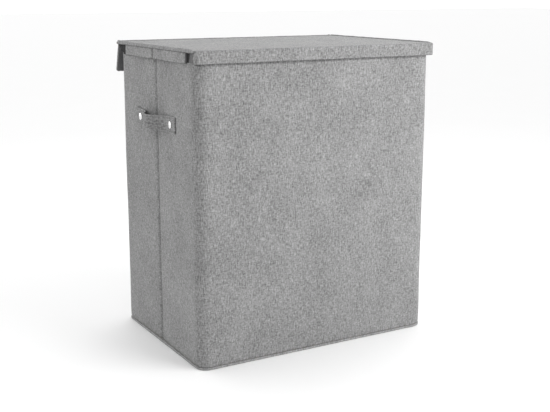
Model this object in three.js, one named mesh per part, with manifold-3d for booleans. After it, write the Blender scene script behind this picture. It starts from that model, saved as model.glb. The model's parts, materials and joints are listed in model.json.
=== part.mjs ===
// Double laundry hamper: a stiffened fabric box, a lid with a folded rim and a rear flap,
// and two open-topped bags that hang side by side inside it.
// Millimetres, +Z up. The origin is on the floor under the middle of the box.
// The front faces -Y, and left and right are as seen from the front.
import * as THREE from 'three';
import { mergeVertices } from 'three/addons/utils/BufferGeometryUtils.js';
import Module from 'manifold-3d';

// Box, over the outer fabric
const BODY_WIDTH = 560;
const BODY_DEPTH = 396;
const OVERALL_HEIGHT = 635;
const BODY_CORNER_RADIUS = 32;

// Clearance between layers that are sewn, glued or hooked together
const SHEET_GAP = 0.3;

// Wall layers, from the outside in
const COVER_THICKNESS = 1.2;
const WALL_BOARD_THICKNESS = 3;
const LINING_THICKNESS = 0.8;
const BOARD_JOINT_GAP = 2;

// Upright crease in the middle of each side, where the sides fold inwards
const CREASE_PUSH_IN = 3;
const CREASE_GROOVE_WIDTH = 10;
const CREASE_GROOVE_DEPTH = 2.5;

// Binding over the rim of the box
const BINDING_HEIGHT = 14;
const BINDING_THICKNESS = 1;

// Bottom panel and the loose base board
const BOTTOM_PANEL_THICKNESS = 5.2;
const BOTTOM_PANEL_PROUD = 0.6;
const BOTTOM_CORNER_RADIUS = 32;
const BASE_BOARD_THICKNESS = 4;
const BASE_BOARD_MARGIN = 1.5;

// Lid
const LID_COVER_THICKNESS = 1;
const LID_BOARD_THICKNESS = 4;
const LID_LINING_THICKNESS = 0.8;
const RIM_BOARD_THICKNESS = 1.4;
const RIM_LINING_THICKNESS = 0.6;
const LID_SIDE_CLEARANCE = 0.4;
const LID_SEAT_CLEARANCE = 0.3;
const LID_EDGE_ROUNDING = 2;
const LID_FRONT_CORNER_RADIUS = 12;
const LIP_DROP = 26;
const LIP_RETURN = 13;
const FLANGE_DROP = 27;
const FLANGE_SETBACK = 41;
const RIM_HEM = 1;

// Fold between the lid and its rear flap
const FOLD_CLEARANCE = 0.5;
const FOLD_BOARD_SETBACK = 1.5;

// Rear flap
const FLAP_LENGTH = 70;
const FLAP_SPLAY_DEGREES = 16;
const FLAP_COVER_THICKNESS = 1;
const FLAP_BOARD_THICKNESS = 1.5;
const FLAP_LINING_THICKNESS = 0.6;
const FLAP_SIDE_SETBACK = 5.5;
const FLAP_CORNER_RADIUS = 5;
const FLAP_BOARD_START = 9;

// Hook-and-loop strips
const STRIP_THICKNESS = 1;
const STRIP_HEIGHT = 20;
const BACK_STRIP_DROP = 14;
const BACK_STRIP_SIDE_MARGIN = 70;
const BAG_STRIP_LENGTH = 150;
const BAG_STRIP_BELOW_BINDING = 4;

// Carrying strap on each side
const STRAP_CENTRE_HEIGHT = 482;
const STRAP_LENGTH = 197;
const STRAP_TAB_LENGTH = 40;
const STRAP_TAB_WIDTH = 34;
const STRAP_MIDDLE_WIDTH = 30;
const STRAP_THICKNESS = 3;
const STRAP_BOW = 24;
const RIVET_SPACING = 153;
const RIVET_CAP_DIAMETER = 15;
const RIVET_CAP_HEIGHT = 2.6;
const RIVET_SHANK_DIAMETER = 4;
const RIVET_HOLE_CLEARANCE = 0.3;
const WASHER_DIAMETER = 13;
const WASHER_THICKNESS = 0.8;

// Bags
const BAG_WALL_THICKNESS = 1.2;
const BAG_SIDE_GAP = 3;
const BAG_MIDDLE_GAP = 3;
const BAG_TOP_BELOW_RIM = 5;
const BAG_BOTTOM_GAP = 0.4;
const BAG_CORNER_RADIUS = 13.5;
const BAG_HEM_THICKNESS = 1;
const BAG_HEM_HEIGHT = 25;

// Webbing handles sewn inside each bag's hem
const WEBBING_WIDTH = 25;
const WEBBING_THICKNESS = 2;
const WEBBING_SPACING = 110;
const WEBBING_DROP = 110;
const WEBBING_BELOW_BAG_TOP = 13;

// How far cutting tools run past what they cut, and how finely arcs are stepped
const OVERRUN = 5;
const CORNER_STEPS = 10;
const STRAP_STEPS = 28;
const ROUND_STEPS = 24;

// Heights and offsets that follow from the sizes above
const wallThickness = COVER_THICKNESS + WALL_BOARD_THICKNESS + LINING_THICKNESS + 2 * SHEET_GAP;
const boardInset = COVER_THICKNESS + SHEET_GAP;
const liningInset = boardInset + WALL_BOARD_THICKNESS + SHEET_GAP;
const lidBoardTop = OVERALL_HEIGHT - LID_COVER_THICKNESS - SHEET_GAP;
const lidBoardBottom = lidBoardTop - LID_BOARD_THICKNESS;
const lidLiningBottom = lidBoardBottom - SHEET_GAP - LID_LINING_THICKNESS;
const rimTop = lidLiningBottom - LID_SEAT_CLEARANCE;
const bindingBottom = rimTop - BINDING_HEIGHT;
const wallBottom = BOTTOM_PANEL_THICKNESS + SHEET_GAP;
const wallTop = bindingBottom - SHEET_GAP;
const creaseShoulder = CREASE_GROOVE_WIDTH / 2;
const sideStraightHalf = BODY_DEPTH / 2 - BODY_CORNER_RADIUS;

// Lid rim: layers from the outside in, and how far they stand past the box
const rimBoardInset = LID_COVER_THICKNESS + SHEET_GAP;
const rimLiningInset = rimBoardInset + RIM_BOARD_THICKNESS + SHEET_GAP;
const lidOverhang = rimLiningInset + RIM_LINING_THICKNESS + LID_SIDE_CLEARANCE;
const flapBoardInset = FLAP_COVER_THICKNESS + SHEET_GAP;
const flapLiningInset = flapBoardInset + FLAP_BOARD_THICKNESS + SHEET_GAP;
const flapThickness = flapLiningInset + FLAP_LINING_THICKNESS;
const rearOverhang = flapThickness + 2 * STRIP_THICKNESS + 3 * SHEET_GAP;
const lidHalfWidth = BODY_WIDTH / 2 + lidOverhang;
const lidFront = -BODY_DEPTH / 2 - lidOverhang;
const foldY = BODY_DEPTH / 2 + rearOverhang;
const flangeHalf = BODY_DEPTH / 2 - FLANGE_SETBACK;

// Bags: outer sizes and places
const stripStack = 2 * STRIP_THICKNESS + 3 * SHEET_GAP;
const bagOuterX = BODY_WIDTH / 2 - wallThickness - CREASE_PUSH_IN - BAG_SIDE_GAP;
const bagWidth = bagOuterX - BAG_MIDDLE_GAP / 2;
const bagCentreX = (bagOuterX + BAG_MIDDLE_GAP / 2) / 2;
const bagHalfDepth = BODY_DEPTH / 2 - wallThickness - stripStack;
const bagTop = rimTop - BAG_TOP_BELOW_RIM;
const bagBottom = wallBottom + BASE_BOARD_THICKNESS + BAG_BOTTOM_GAP;
const bagHemInset = BAG_WALL_THICKNESS + SHEET_GAP;
const bagStripTop = bindingBottom - BAG_STRIP_BELOW_BINDING;

const wasm = await Module();
wasm.setup();

// Solid helpers: a closed geometry becomes a solid that can be cut and joined, and back again
function toSolid(geometry) {
  const bare = geometry.clone();
  bare.deleteAttribute('normal');
  bare.deleteAttribute('uv');
  const welded = mergeVertices(bare);
  return new wasm.Manifold(new wasm.Mesh({
    numProp: 3,
    vertProperties: new Float32Array(welded.attributes.position.array),
    triVerts: new Uint32Array(welded.index.array),
  }));
}

function toGeometry(solid) {
  const mesh = solid.getMesh();
  const geometry = new THREE.BufferGeometry();
  geometry.setAttribute('position', new THREE.BufferAttribute(mesh.vertProperties, 3));
  geometry.setIndex(new THREE.BufferAttribute(mesh.triVerts, 1));
  geometry.computeVertexNormals();
  return geometry;
}

// An outline in the XY plane, raised from one height to another
function prism(shape, low, high) {
  const options = { depth: high - low, bevelEnabled: false, curveSegments: CORNER_STEPS };
  return toSolid(new THREE.ExtrudeGeometry(shape, options).translate(0, 0, low));
}

function block(x, y, z) {
  const box = new THREE.BoxGeometry(x[1] - x[0], y[1] - y[0], z[1] - z[0]);
  return toSolid(box.translate((x[0] + x[1]) / 2, (y[0] + y[1]) / 2, (z[0] + z[1]) / 2));
}

function roundedRectangle(halfWidth, halfDepth, radius) {
  const cornerX = halfWidth - radius;
  const cornerY = halfDepth - radius;
  const shape = new THREE.Shape();
  shape.absarc(cornerX, -cornerY, radius, -Math.PI / 2, 0);
  shape.absarc(cornerX, cornerY, radius, 0, Math.PI / 2);
  shape.absarc(-cornerX, cornerY, radius, Math.PI / 2, Math.PI);
  shape.absarc(-cornerX, -cornerY, radius, Math.PI, Math.PI * 1.5);
  shape.closePath();
  return shape;
}

// The wall's outline seen from above, set in from the outer fabric: round corners,
// and sides that lean in to a crease, with or without the groove that the fabric makes there
function wallShape(inset, grooveDepth) {
  const halfWidth = BODY_WIDTH / 2 - inset;
  const creaseX = halfWidth - CREASE_PUSH_IN;
  const radius = BODY_CORNER_RADIUS - inset;
  const cornerX = halfWidth - radius;
  const shape = new THREE.Shape();
  shape.absarc(cornerX, -sideStraightHalf, radius, -Math.PI / 2, 0);
  shape.lineTo(creaseX, -creaseShoulder);
  shape.lineTo(creaseX - grooveDepth, 0);
  shape.lineTo(creaseX, creaseShoulder);
  shape.absarc(cornerX, sideStraightHalf, radius, 0, Math.PI / 2);
  shape.absarc(-cornerX, sideStraightHalf, radius, Math.PI / 2, Math.PI);
  shape.lineTo(-creaseX, creaseShoulder);
  shape.lineTo(-creaseX + grooveDepth, 0);
  shape.lineTo(-creaseX, -creaseShoulder);
  shape.absarc(-cornerX, -sideStraightHalf, radius, Math.PI, Math.PI * 1.5);
  shape.closePath();
  return shape;
}

function wallRing(outerInset, innerInset, low, high, grooveDepth) {
  const inner = prism(wallShape(innerInset, grooveDepth), low - OVERRUN, high + OVERRUN);
  return prism(wallShape(outerInset, grooveDepth), low, high).subtract(inner);
}

// The lean of each half side, and the wall's outer face at a distance from its crease
const leanRun = sideStraightHalf - creaseShoulder;
const sideLean = Math.atan(CREASE_PUSH_IN / leanRun);
function sideFace(y) {
  const fromShoulder = Math.min(Math.max(Math.abs(y) - creaseShoulder, 0), leanRun);
  return BODY_WIDTH / 2 - CREASE_PUSH_IN * (1 - fromShoulder / leanRun);
}

// Materials, one for each mesh
const finishes = {
  linen: { color: 0x9a9a9a, roughness: 0.95, metalness: 0 },
  lining: { color: 0x3c3c3d, roughness: 0.95, metalness: 0 },
  board: { color: 0x8b7d68, roughness: 0.9, metalness: 0 },
  bag: { color: 0x77787a, roughness: 0.9, metalness: 0 },
  webbing: { color: 0x2a2a2c, roughness: 0.85, metalness: 0 },
  strip: { color: 0x1d1d1f, roughness: 0.95, metalness: 0 },
  rivet: { color: 0xdedede, roughness: 0.25, metalness: 1 },
};

const hamper = new THREE.Group();

function addPart(parent, name, solid, finish) {
  const mesh = new THREE.Mesh(toGeometry(solid), new THREE.MeshStandardMaterial(finishes[finish]));
  mesh.name = name;
  parent.add(mesh);
  return mesh;
}

// A rivet hole through a side wall, square to the leaning wall
const rivetHoleRadius = RIVET_SHANK_DIAMETER / 2 + RIVET_HOLE_CLEARANCE;
const rivetGrip = STRAP_THICKNESS + SHEET_GAP + wallThickness;
const rivetPlaces = [
  { name: 'left_front', side: -1, end: -1 },
  { name: 'left_rear', side: -1, end: 1 },
  { name: 'right_front', side: 1, end: -1 },
  { name: 'right_rear', side: 1, end: 1 },
];

function placeOnSide(item, place) {
  const y = place.end * RIVET_SPACING / 2;
  item.position.set(place.side * sideFace(y), y, STRAP_CENTRE_HEIGHT);
  item.rotation.z = place.side > 0 ? -place.end * sideLean : Math.PI + place.end * sideLean;
  item.updateMatrixWorld(true);
}

const rivetHoles = rivetPlaces.map((place) => {
  const length = 2 * (rivetGrip + OVERRUN);
  const drill = new THREE.CylinderGeometry(rivetHoleRadius, rivetHoleRadius, length, ROUND_STEPS);
  drill.rotateZ(Math.PI / 2);
  const marker = new THREE.Object3D();
  placeOnSide(marker, place);
  return toSolid(drill.applyMatrix4(marker.matrixWorld));
});

function drilled(solid) {
  return rivetHoles.reduce((result, hole) => result.subtract(hole), solid);
}

// Box walls
function buildWalls() {
  const cover = wallRing(0, COVER_THICKNESS, wallBottom, wallTop, CREASE_GROOVE_DEPTH);
  addPart(hamper, 'outer_cover', drilled(cover), 'linen');
  addPart(hamper, 'inner_lining', drilled(wallRing(liningInset, wallThickness, wallBottom, wallTop, 0)), 'lining');

  const bindingOuter = wallRing(0, wallThickness, bindingBottom, rimTop, 0);
  const channel = wallRing(COVER_THICKNESS, wallThickness - LINING_THICKNESS,
    bindingBottom - OVERRUN, rimTop - BINDING_THICKNESS, 0);
  addPart(hamper, 'rim_binding', bindingOuter.subtract(channel), 'linen');

  const boardTop = rimTop - BINDING_THICKNESS - SHEET_GAP;
  const boards = drilled(wallRing(boardInset, boardInset + WALL_BOARD_THICKNESS, wallBottom, boardTop, 0));
  const past = BODY_WIDTH / 2 + OVERRUN;
  const heights = [wallBottom - OVERRUN, boardTop + OVERRUN];
  const outerEnd = BODY_DEPTH / 2 + OVERRUN;
  const creaseEnd = creaseShoulder + COVER_THICKNESS + SHEET_GAP;
  const sideEnd = sideStraightHalf - BOARD_JOINT_GAP;
  const cut = (x, y) => boards.intersect(block(x, y, heights));
  addPart(hamper, 'front_board', cut([-past, past], [-outerEnd, -sideStraightHalf]), 'board');
  addPart(hamper, 'back_board', cut([-past, past], [sideStraightHalf, outerEnd]), 'board');
  addPart(hamper, 'left_front_board', cut([-past, 0], [-sideEnd, -creaseEnd]), 'board');
  addPart(hamper, 'left_rear_board', cut([-past, 0], [creaseEnd, sideEnd]), 'board');
  addPart(hamper, 'right_front_board', cut([0, past], [-sideEnd, -creaseEnd]), 'board');
  addPart(hamper, 'right_rear_board', cut([0, past], [creaseEnd, sideEnd]), 'board');
}

// Bottom panel that the walls are sewn to, and the board that lies loose inside on it
function buildBottom() {
  const panel = roundedRectangle(BODY_WIDTH / 2 + BOTTOM_PANEL_PROUD,
    BODY_DEPTH / 2 + BOTTOM_PANEL_PROUD, BOTTOM_CORNER_RADIUS);
  addPart(hamper, 'bottom_panel', prism(panel, 0, BOTTOM_PANEL_THICKNESS), 'linen');
  const base = prism(wallShape(wallThickness + BASE_BOARD_MARGIN, 0), wallBottom, wallBottom + BASE_BOARD_THICKNESS);
  addPart(hamper, 'base_board', base, 'lining');
}

// Hook strip across the back of the box, for the rear flap
function buildBackStrip() {
  const backLength = BODY_WIDTH / 2 - BACK_STRIP_SIDE_MARGIN;
  const backInner = BODY_DEPTH / 2 + SHEET_GAP;
  const backTop = OVERALL_HEIGHT - BACK_STRIP_DROP;
  const backStrip = block([-backLength, backLength], [backInner, backInner + STRIP_THICKNESS],
    [backTop - STRIP_HEIGHT, backTop]);
  addPart(hamper, 'back_hook_strip', backStrip, 'strip');
}

// A strip for one bag on the wall, and its partner on the bag, just inside it
function buildBagStrips(bagName, centreX) {
  const xs = [centreX - BAG_STRIP_LENGTH / 2, centreX + BAG_STRIP_LENGTH / 2];
  const zs = [bagStripTop - STRIP_HEIGHT, bagStripTop];
  const hookOuter = BODY_DEPTH / 2 - wallThickness - SHEET_GAP;
  const loopOuter = hookOuter - STRIP_THICKNESS - SHEET_GAP;
  const frontHook = block(xs, [-hookOuter, -hookOuter + STRIP_THICKNESS], zs);
  const backHook = block(xs, [hookOuter - STRIP_THICKNESS, hookOuter], zs);
  const frontLoop = block(xs, [-loopOuter, -loopOuter + STRIP_THICKNESS], zs);
  const backLoop = block(xs, [loopOuter - STRIP_THICKNESS, loopOuter], zs);
  addPart(hamper, `${bagName}_front_hook_strip`, frontHook, 'strip');
  addPart(hamper, `${bagName}_back_hook_strip`, backHook, 'strip');
  addPart(hamper, `${bagName}_front_loop_strip`, frontLoop, 'strip');
  addPart(hamper, `${bagName}_back_loop_strip`, backLoop, 'strip');
}

// One bag: an open-topped shell with a hem band inside its mouth
function buildBag(bagName, centreX) {
  const outline = (inset) => roundedRectangle(bagWidth / 2 - inset, bagHalfDepth - inset, BAG_CORNER_RADIUS - inset);
  const hollow = prism(outline(BAG_WALL_THICKNESS), bagBottom + BAG_WALL_THICKNESS, bagTop + OVERRUN);
  const shell = prism(outline(0), bagBottom, bagTop).subtract(hollow);
  addPart(hamper, bagName, shell.translate([centreX, 0, 0]), 'bag');

  const hemBottom = bagTop - BAG_HEM_HEIGHT;
  const hemHole = prism(outline(bagHemInset + BAG_HEM_THICKNESS), hemBottom - OVERRUN, bagTop + OVERRUN);
  const hem = prism(outline(bagHemInset), hemBottom, bagTop).subtract(hemHole);
  addPart(hamper, `${bagName}_hem`, hem.translate([centreX, 0, 0]), 'lining');
}

// A webbing handle hanging from its top edge at the origin, as a flat U in the XZ plane
function webbingLoop() {
  const outerRadius = (WEBBING_SPACING + WEBBING_WIDTH) / 2;
  const innerRadius = (WEBBING_SPACING - WEBBING_WIDTH) / 2;
  const bendHeight = -(WEBBING_DROP - outerRadius);
  const shape = new THREE.Shape();
  shape.moveTo(-outerRadius, 0);
  shape.lineTo(-outerRadius, bendHeight);
  shape.absarc(0, bendHeight, outerRadius, Math.PI, Math.PI * 2);
  shape.lineTo(outerRadius, 0);
  shape.lineTo(innerRadius, 0);
  shape.lineTo(innerRadius, bendHeight);
  shape.absarc(0, bendHeight, innerRadius, Math.PI * 2, Math.PI, true);
  shape.lineTo(-innerRadius, 0);
  shape.closePath();
  const options = { depth: WEBBING_THICKNESS, bevelEnabled: false, curveSegments: ROUND_STEPS };
  const loop = new THREE.ExtrudeGeometry(shape, options).translate(0, 0, -WEBBING_THICKNESS / 2);
  return toSolid(loop.rotateX(Math.PI / 2));
}

function buildBagHandles(bagName, centreX) {
  const hemFace = bagHalfDepth - bagHemInset - BAG_HEM_THICKNESS;
  const y = hemFace - SHEET_GAP - WEBBING_THICKNESS / 2;
  for (const [where, side] of [['front', -1], ['back', 1]]) {
    const handle = addPart(hamper, `${bagName}_${where}_handle`, webbingLoop(), 'webbing');
    handle.position.set(centreX, side * y, bagTop - WEBBING_BELOW_BAG_TOP);
  }
}

// Carrying strap: flat riveted tabs that follow the wall, and a middle that bows out
function strapBow(y) {
  const half = STRAP_LENGTH / 2 - STRAP_TAB_LENGTH;
  const along = Math.min(Math.abs(y) / half, 1);
  return STRAP_BOW * Math.cos(along * Math.PI / 2) ** 2;
}

function buildStrap(name, side) {
  const middle = Array.from({ length: STRAP_STEPS + 1 }, (_, step) => {
    const y = STRAP_LENGTH * (step / STRAP_STEPS - 1 / 2);
    return new THREE.Vector2(side * (sideFace(y) + SHEET_GAP + STRAP_THICKNESS / 2 + strapBow(y)), y);
  });
  const offset = (distance) => middle.map((point, index) => {
    const before = middle[Math.max(index - 1, 0)];
    const after = middle[Math.min(index + 1, STRAP_STEPS)];
    const along = after.clone().sub(before).normalize();
    return new THREE.Vector2(point.x + distance * along.y, point.y - distance * along.x);
  });
  const outline = new THREE.Shape([...offset(STRAP_THICKNESS / 2), ...offset(-STRAP_THICKNESS / 2).reverse()]);
  const low = STRAP_CENTRE_HEIGHT - STRAP_TAB_WIDTH / 2;
  const full = prism(outline, low, low + STRAP_TAB_WIDTH);
  const reach = BODY_WIDTH / 2 + STRAP_BOW + STRAP_THICKNESS + OVERRUN;
  const waistHalf = STRAP_LENGTH / 2 - STRAP_TAB_LENGTH;
  const shoulder = (STRAP_TAB_WIDTH - STRAP_MIDDLE_WIDTH) / 2;
  const trims = [-1, 1].map((edge) => {
    const edgeZ = STRAP_CENTRE_HEIGHT + edge * STRAP_TAB_WIDTH / 2;
    const zs = [edgeZ - edge * shoulder, edgeZ + edge * OVERRUN].sort((a, b) => a - b);
    return block([-reach, reach], [-waistHalf, waistHalf], zs);
  });
  addPart(hamper, name, drilled(full.subtract(trims[0]).subtract(trims[1])), 'linen');
}

// Rivet: a domed cap on the strap, with its shank through the wall to a washer on the lining
function buildRivets() {
  const capRadius = RIVET_CAP_DIAMETER / 2;
  const shankRadius = RIVET_SHANK_DIAMETER / 2;
  const domeRadius = (capRadius ** 2 + RIVET_CAP_HEIGHT ** 2) / (2 * RIVET_CAP_HEIGHT);
  const capFoot = STRAP_THICKNESS + 2 * SHEET_GAP;
  const shankEnd = -(wallThickness + SHEET_GAP + WASHER_THICKNESS);
  const domeAngle = Math.asin(capRadius / domeRadius);
  const dome = Array.from({ length: CORNER_STEPS + 1 }, (_, step) => {
    const angle = domeAngle * step / CORNER_STEPS;
    const height = capFoot + RIVET_CAP_HEIGHT - domeRadius * (1 - Math.cos(angle));
    return new THREE.Vector2(domeRadius * Math.sin(angle), height);
  });
  const profile = [
    new THREE.Vector2(0, shankEnd),
    new THREE.Vector2(shankRadius, shankEnd),
    new THREE.Vector2(shankRadius, capFoot),
    ...dome.reverse(),
  ];
  const washerTop = -(wallThickness + SHEET_GAP);
  const washerProfile = [
    new THREE.Vector2(rivetHoleRadius, shankEnd),
    new THREE.Vector2(WASHER_DIAMETER / 2, shankEnd),
    new THREE.Vector2(WASHER_DIAMETER / 2, washerTop),
    new THREE.Vector2(rivetHoleRadius, washerTop),
    new THREE.Vector2(rivetHoleRadius, shankEnd),
  ];
  for (const place of rivetPlaces) {
    const turned = (points) => toSolid(new THREE.LatheGeometry(points, ROUND_STEPS).rotateZ(-Math.PI / 2));
    placeOnSide(addPart(hamper, `${place.name}_rivet`, turned(profile), 'rivet'), place);
    placeOnSide(addPart(hamper, `${place.name}_washer`, turned(washerProfile), 'rivet'), place);
  }
}

// The lid's outline seen from above: round front corners and square rear ones
function lidShape(inset, rear) {
  const halfWidth = lidHalfWidth - inset;
  const radius = LID_FRONT_CORNER_RADIUS - inset;
  const cornerY = lidFront + inset + radius;
  const shape = new THREE.Shape();
  shape.absarc(halfWidth - radius, cornerY, radius, -Math.PI / 2, 0);
  shape.lineTo(halfWidth, rear);
  shape.lineTo(-halfWidth, rear);
  shape.absarc(radius - halfWidth, cornerY, radius, Math.PI, Math.PI * 1.5);
  shape.closePath();
  return shape;
}

// What is left of the lid's rim below the board: a front lip that turns the corners,
// and a flange along the straight part of each side
const rimEdge = lidBoardBottom;
const lipEnd = lidFront + LIP_RETURN;
const past = lidHalfWidth + OVERRUN;
const lipSpace = (low) => block([-past, past], [lidFront - OVERRUN, lipEnd], [low, rimEdge]);
const flangeSpace = (low, side) => block([side * past, 0].sort((a, b) => a - b),
  [-flangeHalf, flangeHalf], [low, rimEdge]);

function lidRing(outerInset, innerInset, low, high) {
  const rear = foldY - FOLD_CLEARANCE;
  const hole = prism(lidShape(innerInset, rear + OVERRUN), low - OVERRUN, high + OVERRUN);
  return prism(lidShape(outerInset, rear), low, high).subtract(hole);
}

function buildLid() {
  const rear = foldY - FOLD_CLEARANCE;
  const depth = LIP_DROP + FLANGE_DROP;
  const options = {
    depth,
    bevelSize: LID_EDGE_ROUNDING,
    bevelThickness: LID_EDGE_ROUNDING,
    bevelSegments: 3,
    curveSegments: CORNER_STEPS,
  };
  const rounded = new THREE.ExtrudeGeometry(lidShape(LID_EDGE_ROUNDING, rear + OVERRUN), options)
    .translate(0, 0, OVERALL_HEIGHT - LID_EDGE_ROUNDING - depth);
  const top = toSolid(rounded)
    .intersect(block([-past, past], [lidFront - OVERRUN, rear], [rimEdge, OVERALL_HEIGHT]))
    .subtract(prism(lidShape(LID_COVER_THICKNESS, rear + OVERRUN), rimEdge - OVERRUN, lidBoardTop + SHEET_GAP));
  const lipLow = OVERALL_HEIGHT - LIP_DROP;
  const flangeLow = OVERALL_HEIGHT - FLANGE_DROP;
  const skirt = lidRing(0, LID_COVER_THICKNESS, flangeLow, rimEdge);
  const cover = top
    .add(skirt.intersect(lipSpace(lipLow)))
    .add(skirt.intersect(flangeSpace(flangeLow, -1)))
    .add(skirt.intersect(flangeSpace(flangeLow, 1)));
  addPart(hamper, 'lid_cover', cover, 'linen');

  const boardRear = foldY - FOLD_BOARD_SETBACK;
  addPart(hamper, 'lid_board', prism(lidShape(rimBoardInset, boardRear), lidBoardBottom, lidBoardTop), 'board');
  const liningTop = lidBoardBottom - SHEET_GAP;
  addPart(hamper, 'lid_lining', prism(lidShape(rimBoardInset, boardRear), lidLiningBottom, liningTop), 'lining');

  const high = lidLiningBottom - SHEET_GAP;
  const boardLow = flangeLow - OVERRUN;
  const boards = lidRing(rimBoardInset, rimBoardInset + RIM_BOARD_THICKNESS, boardLow, high);
  const linings = lidRing(rimLiningInset, rimLiningInset + RIM_LINING_THICKNESS, boardLow, high);
  const lip = lipSpace(lipLow + RIM_HEM);
  addPart(hamper, 'lip_board', boards.intersect(lip), 'board');
  addPart(hamper, 'lip_lining', linings.intersect(lip), 'lining');
  for (const [name, side] of [['left', -1], ['right', 1]]) {
    const flange = flangeSpace(flangeLow + RIM_HEM, side);
    addPart(hamper, `${name}_flange_board`, boards.intersect(flange), 'board');
    addPart(hamper, `${name}_flange_lining`, linings.intersect(flange), 'lining');
  }
}

// Rear flap: hangs from the fold and stands away from the back. Built upright with its outer
// face on the XZ plane and the fold at the origin, then swung out.
function buildFlap() {
  const flap = new THREE.Group();
  flap.position.set(0, foldY, OVERALL_HEIGHT);
  flap.rotation.x = THREE.MathUtils.degToRad(FLAP_SPLAY_DEGREES);
  hamper.add(flap);

  const halfWidth = lidHalfWidth - FLAP_SIDE_SETBACK;
  const foldStart = LID_COVER_THICKNESS + FOLD_CLEARANCE;
  const sheet = (inset, start, face, thickness) => {
    const half = halfWidth - inset;
    const low = -(FLAP_LENGTH - inset);
    const radius = FLAP_CORNER_RADIUS - inset;
    const shape = new THREE.Shape();
    shape.moveTo(half, -start);
    shape.lineTo(-half, -start);
    shape.absarc(radius - half, low + radius, radius, Math.PI, Math.PI * 1.5);
    shape.absarc(half - radius, low + radius, radius, -Math.PI / 2, 0);
    shape.closePath();
    const options = { depth: thickness, bevelEnabled: false, curveSegments: CORNER_STEPS };
    return toSolid(new THREE.ExtrudeGeometry(shape, options).rotateX(Math.PI / 2).translate(0, -face, 0));
  };
  const edge = FLAP_COVER_THICKNESS;
  const skin = sheet(0, foldStart, 0, FLAP_COVER_THICKNESS);
  const frame = sheet(0, FLAP_BOARD_START, 0, flapThickness)
    .subtract(sheet(edge, FLAP_BOARD_START - OVERRUN, FLAP_COVER_THICKNESS, flapThickness));
  addPart(flap, 'flap_cover', skin.add(frame), 'linen');
  const inset = edge + SHEET_GAP;
  addPart(flap, 'flap_board', sheet(inset, FLAP_BOARD_START, flapBoardInset, FLAP_BOARD_THICKNESS), 'board');
  addPart(flap, 'flap_lining', sheet(inset, FLAP_BOARD_START, flapLiningInset, FLAP_LINING_THICKNESS), 'lining');

  const stripHalf = BODY_WIDTH / 2 - BACK_STRIP_SIDE_MARGIN;
  const stripFace = -flapThickness - SHEET_GAP;
  const strip = block([-stripHalf, stripHalf], [stripFace - STRIP_THICKNESS, stripFace],
    [-BACK_STRIP_DROP - STRIP_HEIGHT, -BACK_STRIP_DROP]);
  addPart(flap, 'flap_loop_strip', strip, 'strip');
}

buildWalls();
buildBottom();
buildBackStrip();
for (const [bagName, side] of [['left_bag', -1], ['right_bag', 1]]) {
  buildBag(bagName, side * bagCentreX);
  buildBagStrips(bagName, side * bagCentreX);
  buildBagHandles(bagName, side * bagCentreX);
}
buildStrap('left_handle', -1);
buildStrap('right_handle', 1);
buildRivets();
buildLid();
buildFlap();

export default hamper;
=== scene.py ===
"""A two-bin laundry hamper, dressed in cloth, webbing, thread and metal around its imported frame.

Metres, +Z up. The front faces -Y, and left and right are as seen from the front.
"""
import json
import math

import bmesh
import bpy
import numpy as np
from bpy.props import FloatProperty, FloatVectorProperty, PointerProperty
from mathutils import Matrix, Vector, noise


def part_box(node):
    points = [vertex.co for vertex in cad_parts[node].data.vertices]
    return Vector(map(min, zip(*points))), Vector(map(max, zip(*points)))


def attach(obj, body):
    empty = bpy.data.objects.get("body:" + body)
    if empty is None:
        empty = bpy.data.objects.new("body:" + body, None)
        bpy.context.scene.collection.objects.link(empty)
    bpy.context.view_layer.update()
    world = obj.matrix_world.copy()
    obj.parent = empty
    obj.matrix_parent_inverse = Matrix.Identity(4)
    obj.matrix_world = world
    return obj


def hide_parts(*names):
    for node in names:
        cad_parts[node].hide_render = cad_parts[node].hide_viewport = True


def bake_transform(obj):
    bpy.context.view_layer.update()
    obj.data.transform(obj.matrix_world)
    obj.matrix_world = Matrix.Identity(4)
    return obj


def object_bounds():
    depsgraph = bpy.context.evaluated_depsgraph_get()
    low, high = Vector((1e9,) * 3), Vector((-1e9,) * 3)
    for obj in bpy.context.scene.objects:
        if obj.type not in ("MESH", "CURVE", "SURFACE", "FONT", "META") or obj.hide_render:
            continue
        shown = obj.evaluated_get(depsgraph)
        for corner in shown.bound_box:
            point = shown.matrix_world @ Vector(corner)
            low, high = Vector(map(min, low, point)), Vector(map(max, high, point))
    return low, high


bl_info = {
    "name": "Two-Bin Laundry Hamper",
    "version": (1, 0, 0),
    "blender": (4, 5, 0),
    "location": "View3D > Sidebar > Hamper",
    "description": "Covers the hamper's frame with linen, lining, bags, webbing and rivets",
    "category": "Add Mesh",
}

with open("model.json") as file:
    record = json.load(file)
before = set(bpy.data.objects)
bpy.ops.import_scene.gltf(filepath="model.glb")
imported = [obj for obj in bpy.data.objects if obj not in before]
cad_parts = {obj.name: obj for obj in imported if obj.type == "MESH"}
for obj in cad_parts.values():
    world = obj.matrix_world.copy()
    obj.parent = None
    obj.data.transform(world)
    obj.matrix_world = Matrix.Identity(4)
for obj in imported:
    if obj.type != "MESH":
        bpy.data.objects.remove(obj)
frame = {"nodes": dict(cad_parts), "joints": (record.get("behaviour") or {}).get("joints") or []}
CAD_LOW, CAD_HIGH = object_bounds()

MM = 0.001
SAME_PLACE = 1e-6
LINEN_THICKNESS, BINDING_THICKNESS, LINING_THICKNESS = 0.9 * MM, 0.63 * MM, 0.6 * MM
BAG_THICKNESS, HEM_THICKNESS, FACING_THICKNESS = 0.9 * MM, 0.7 * MM, 0.5 * MM
SIDES = {"left": -1, "right": 1}
ENDS = {"front": -1, "back": 1}


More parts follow.
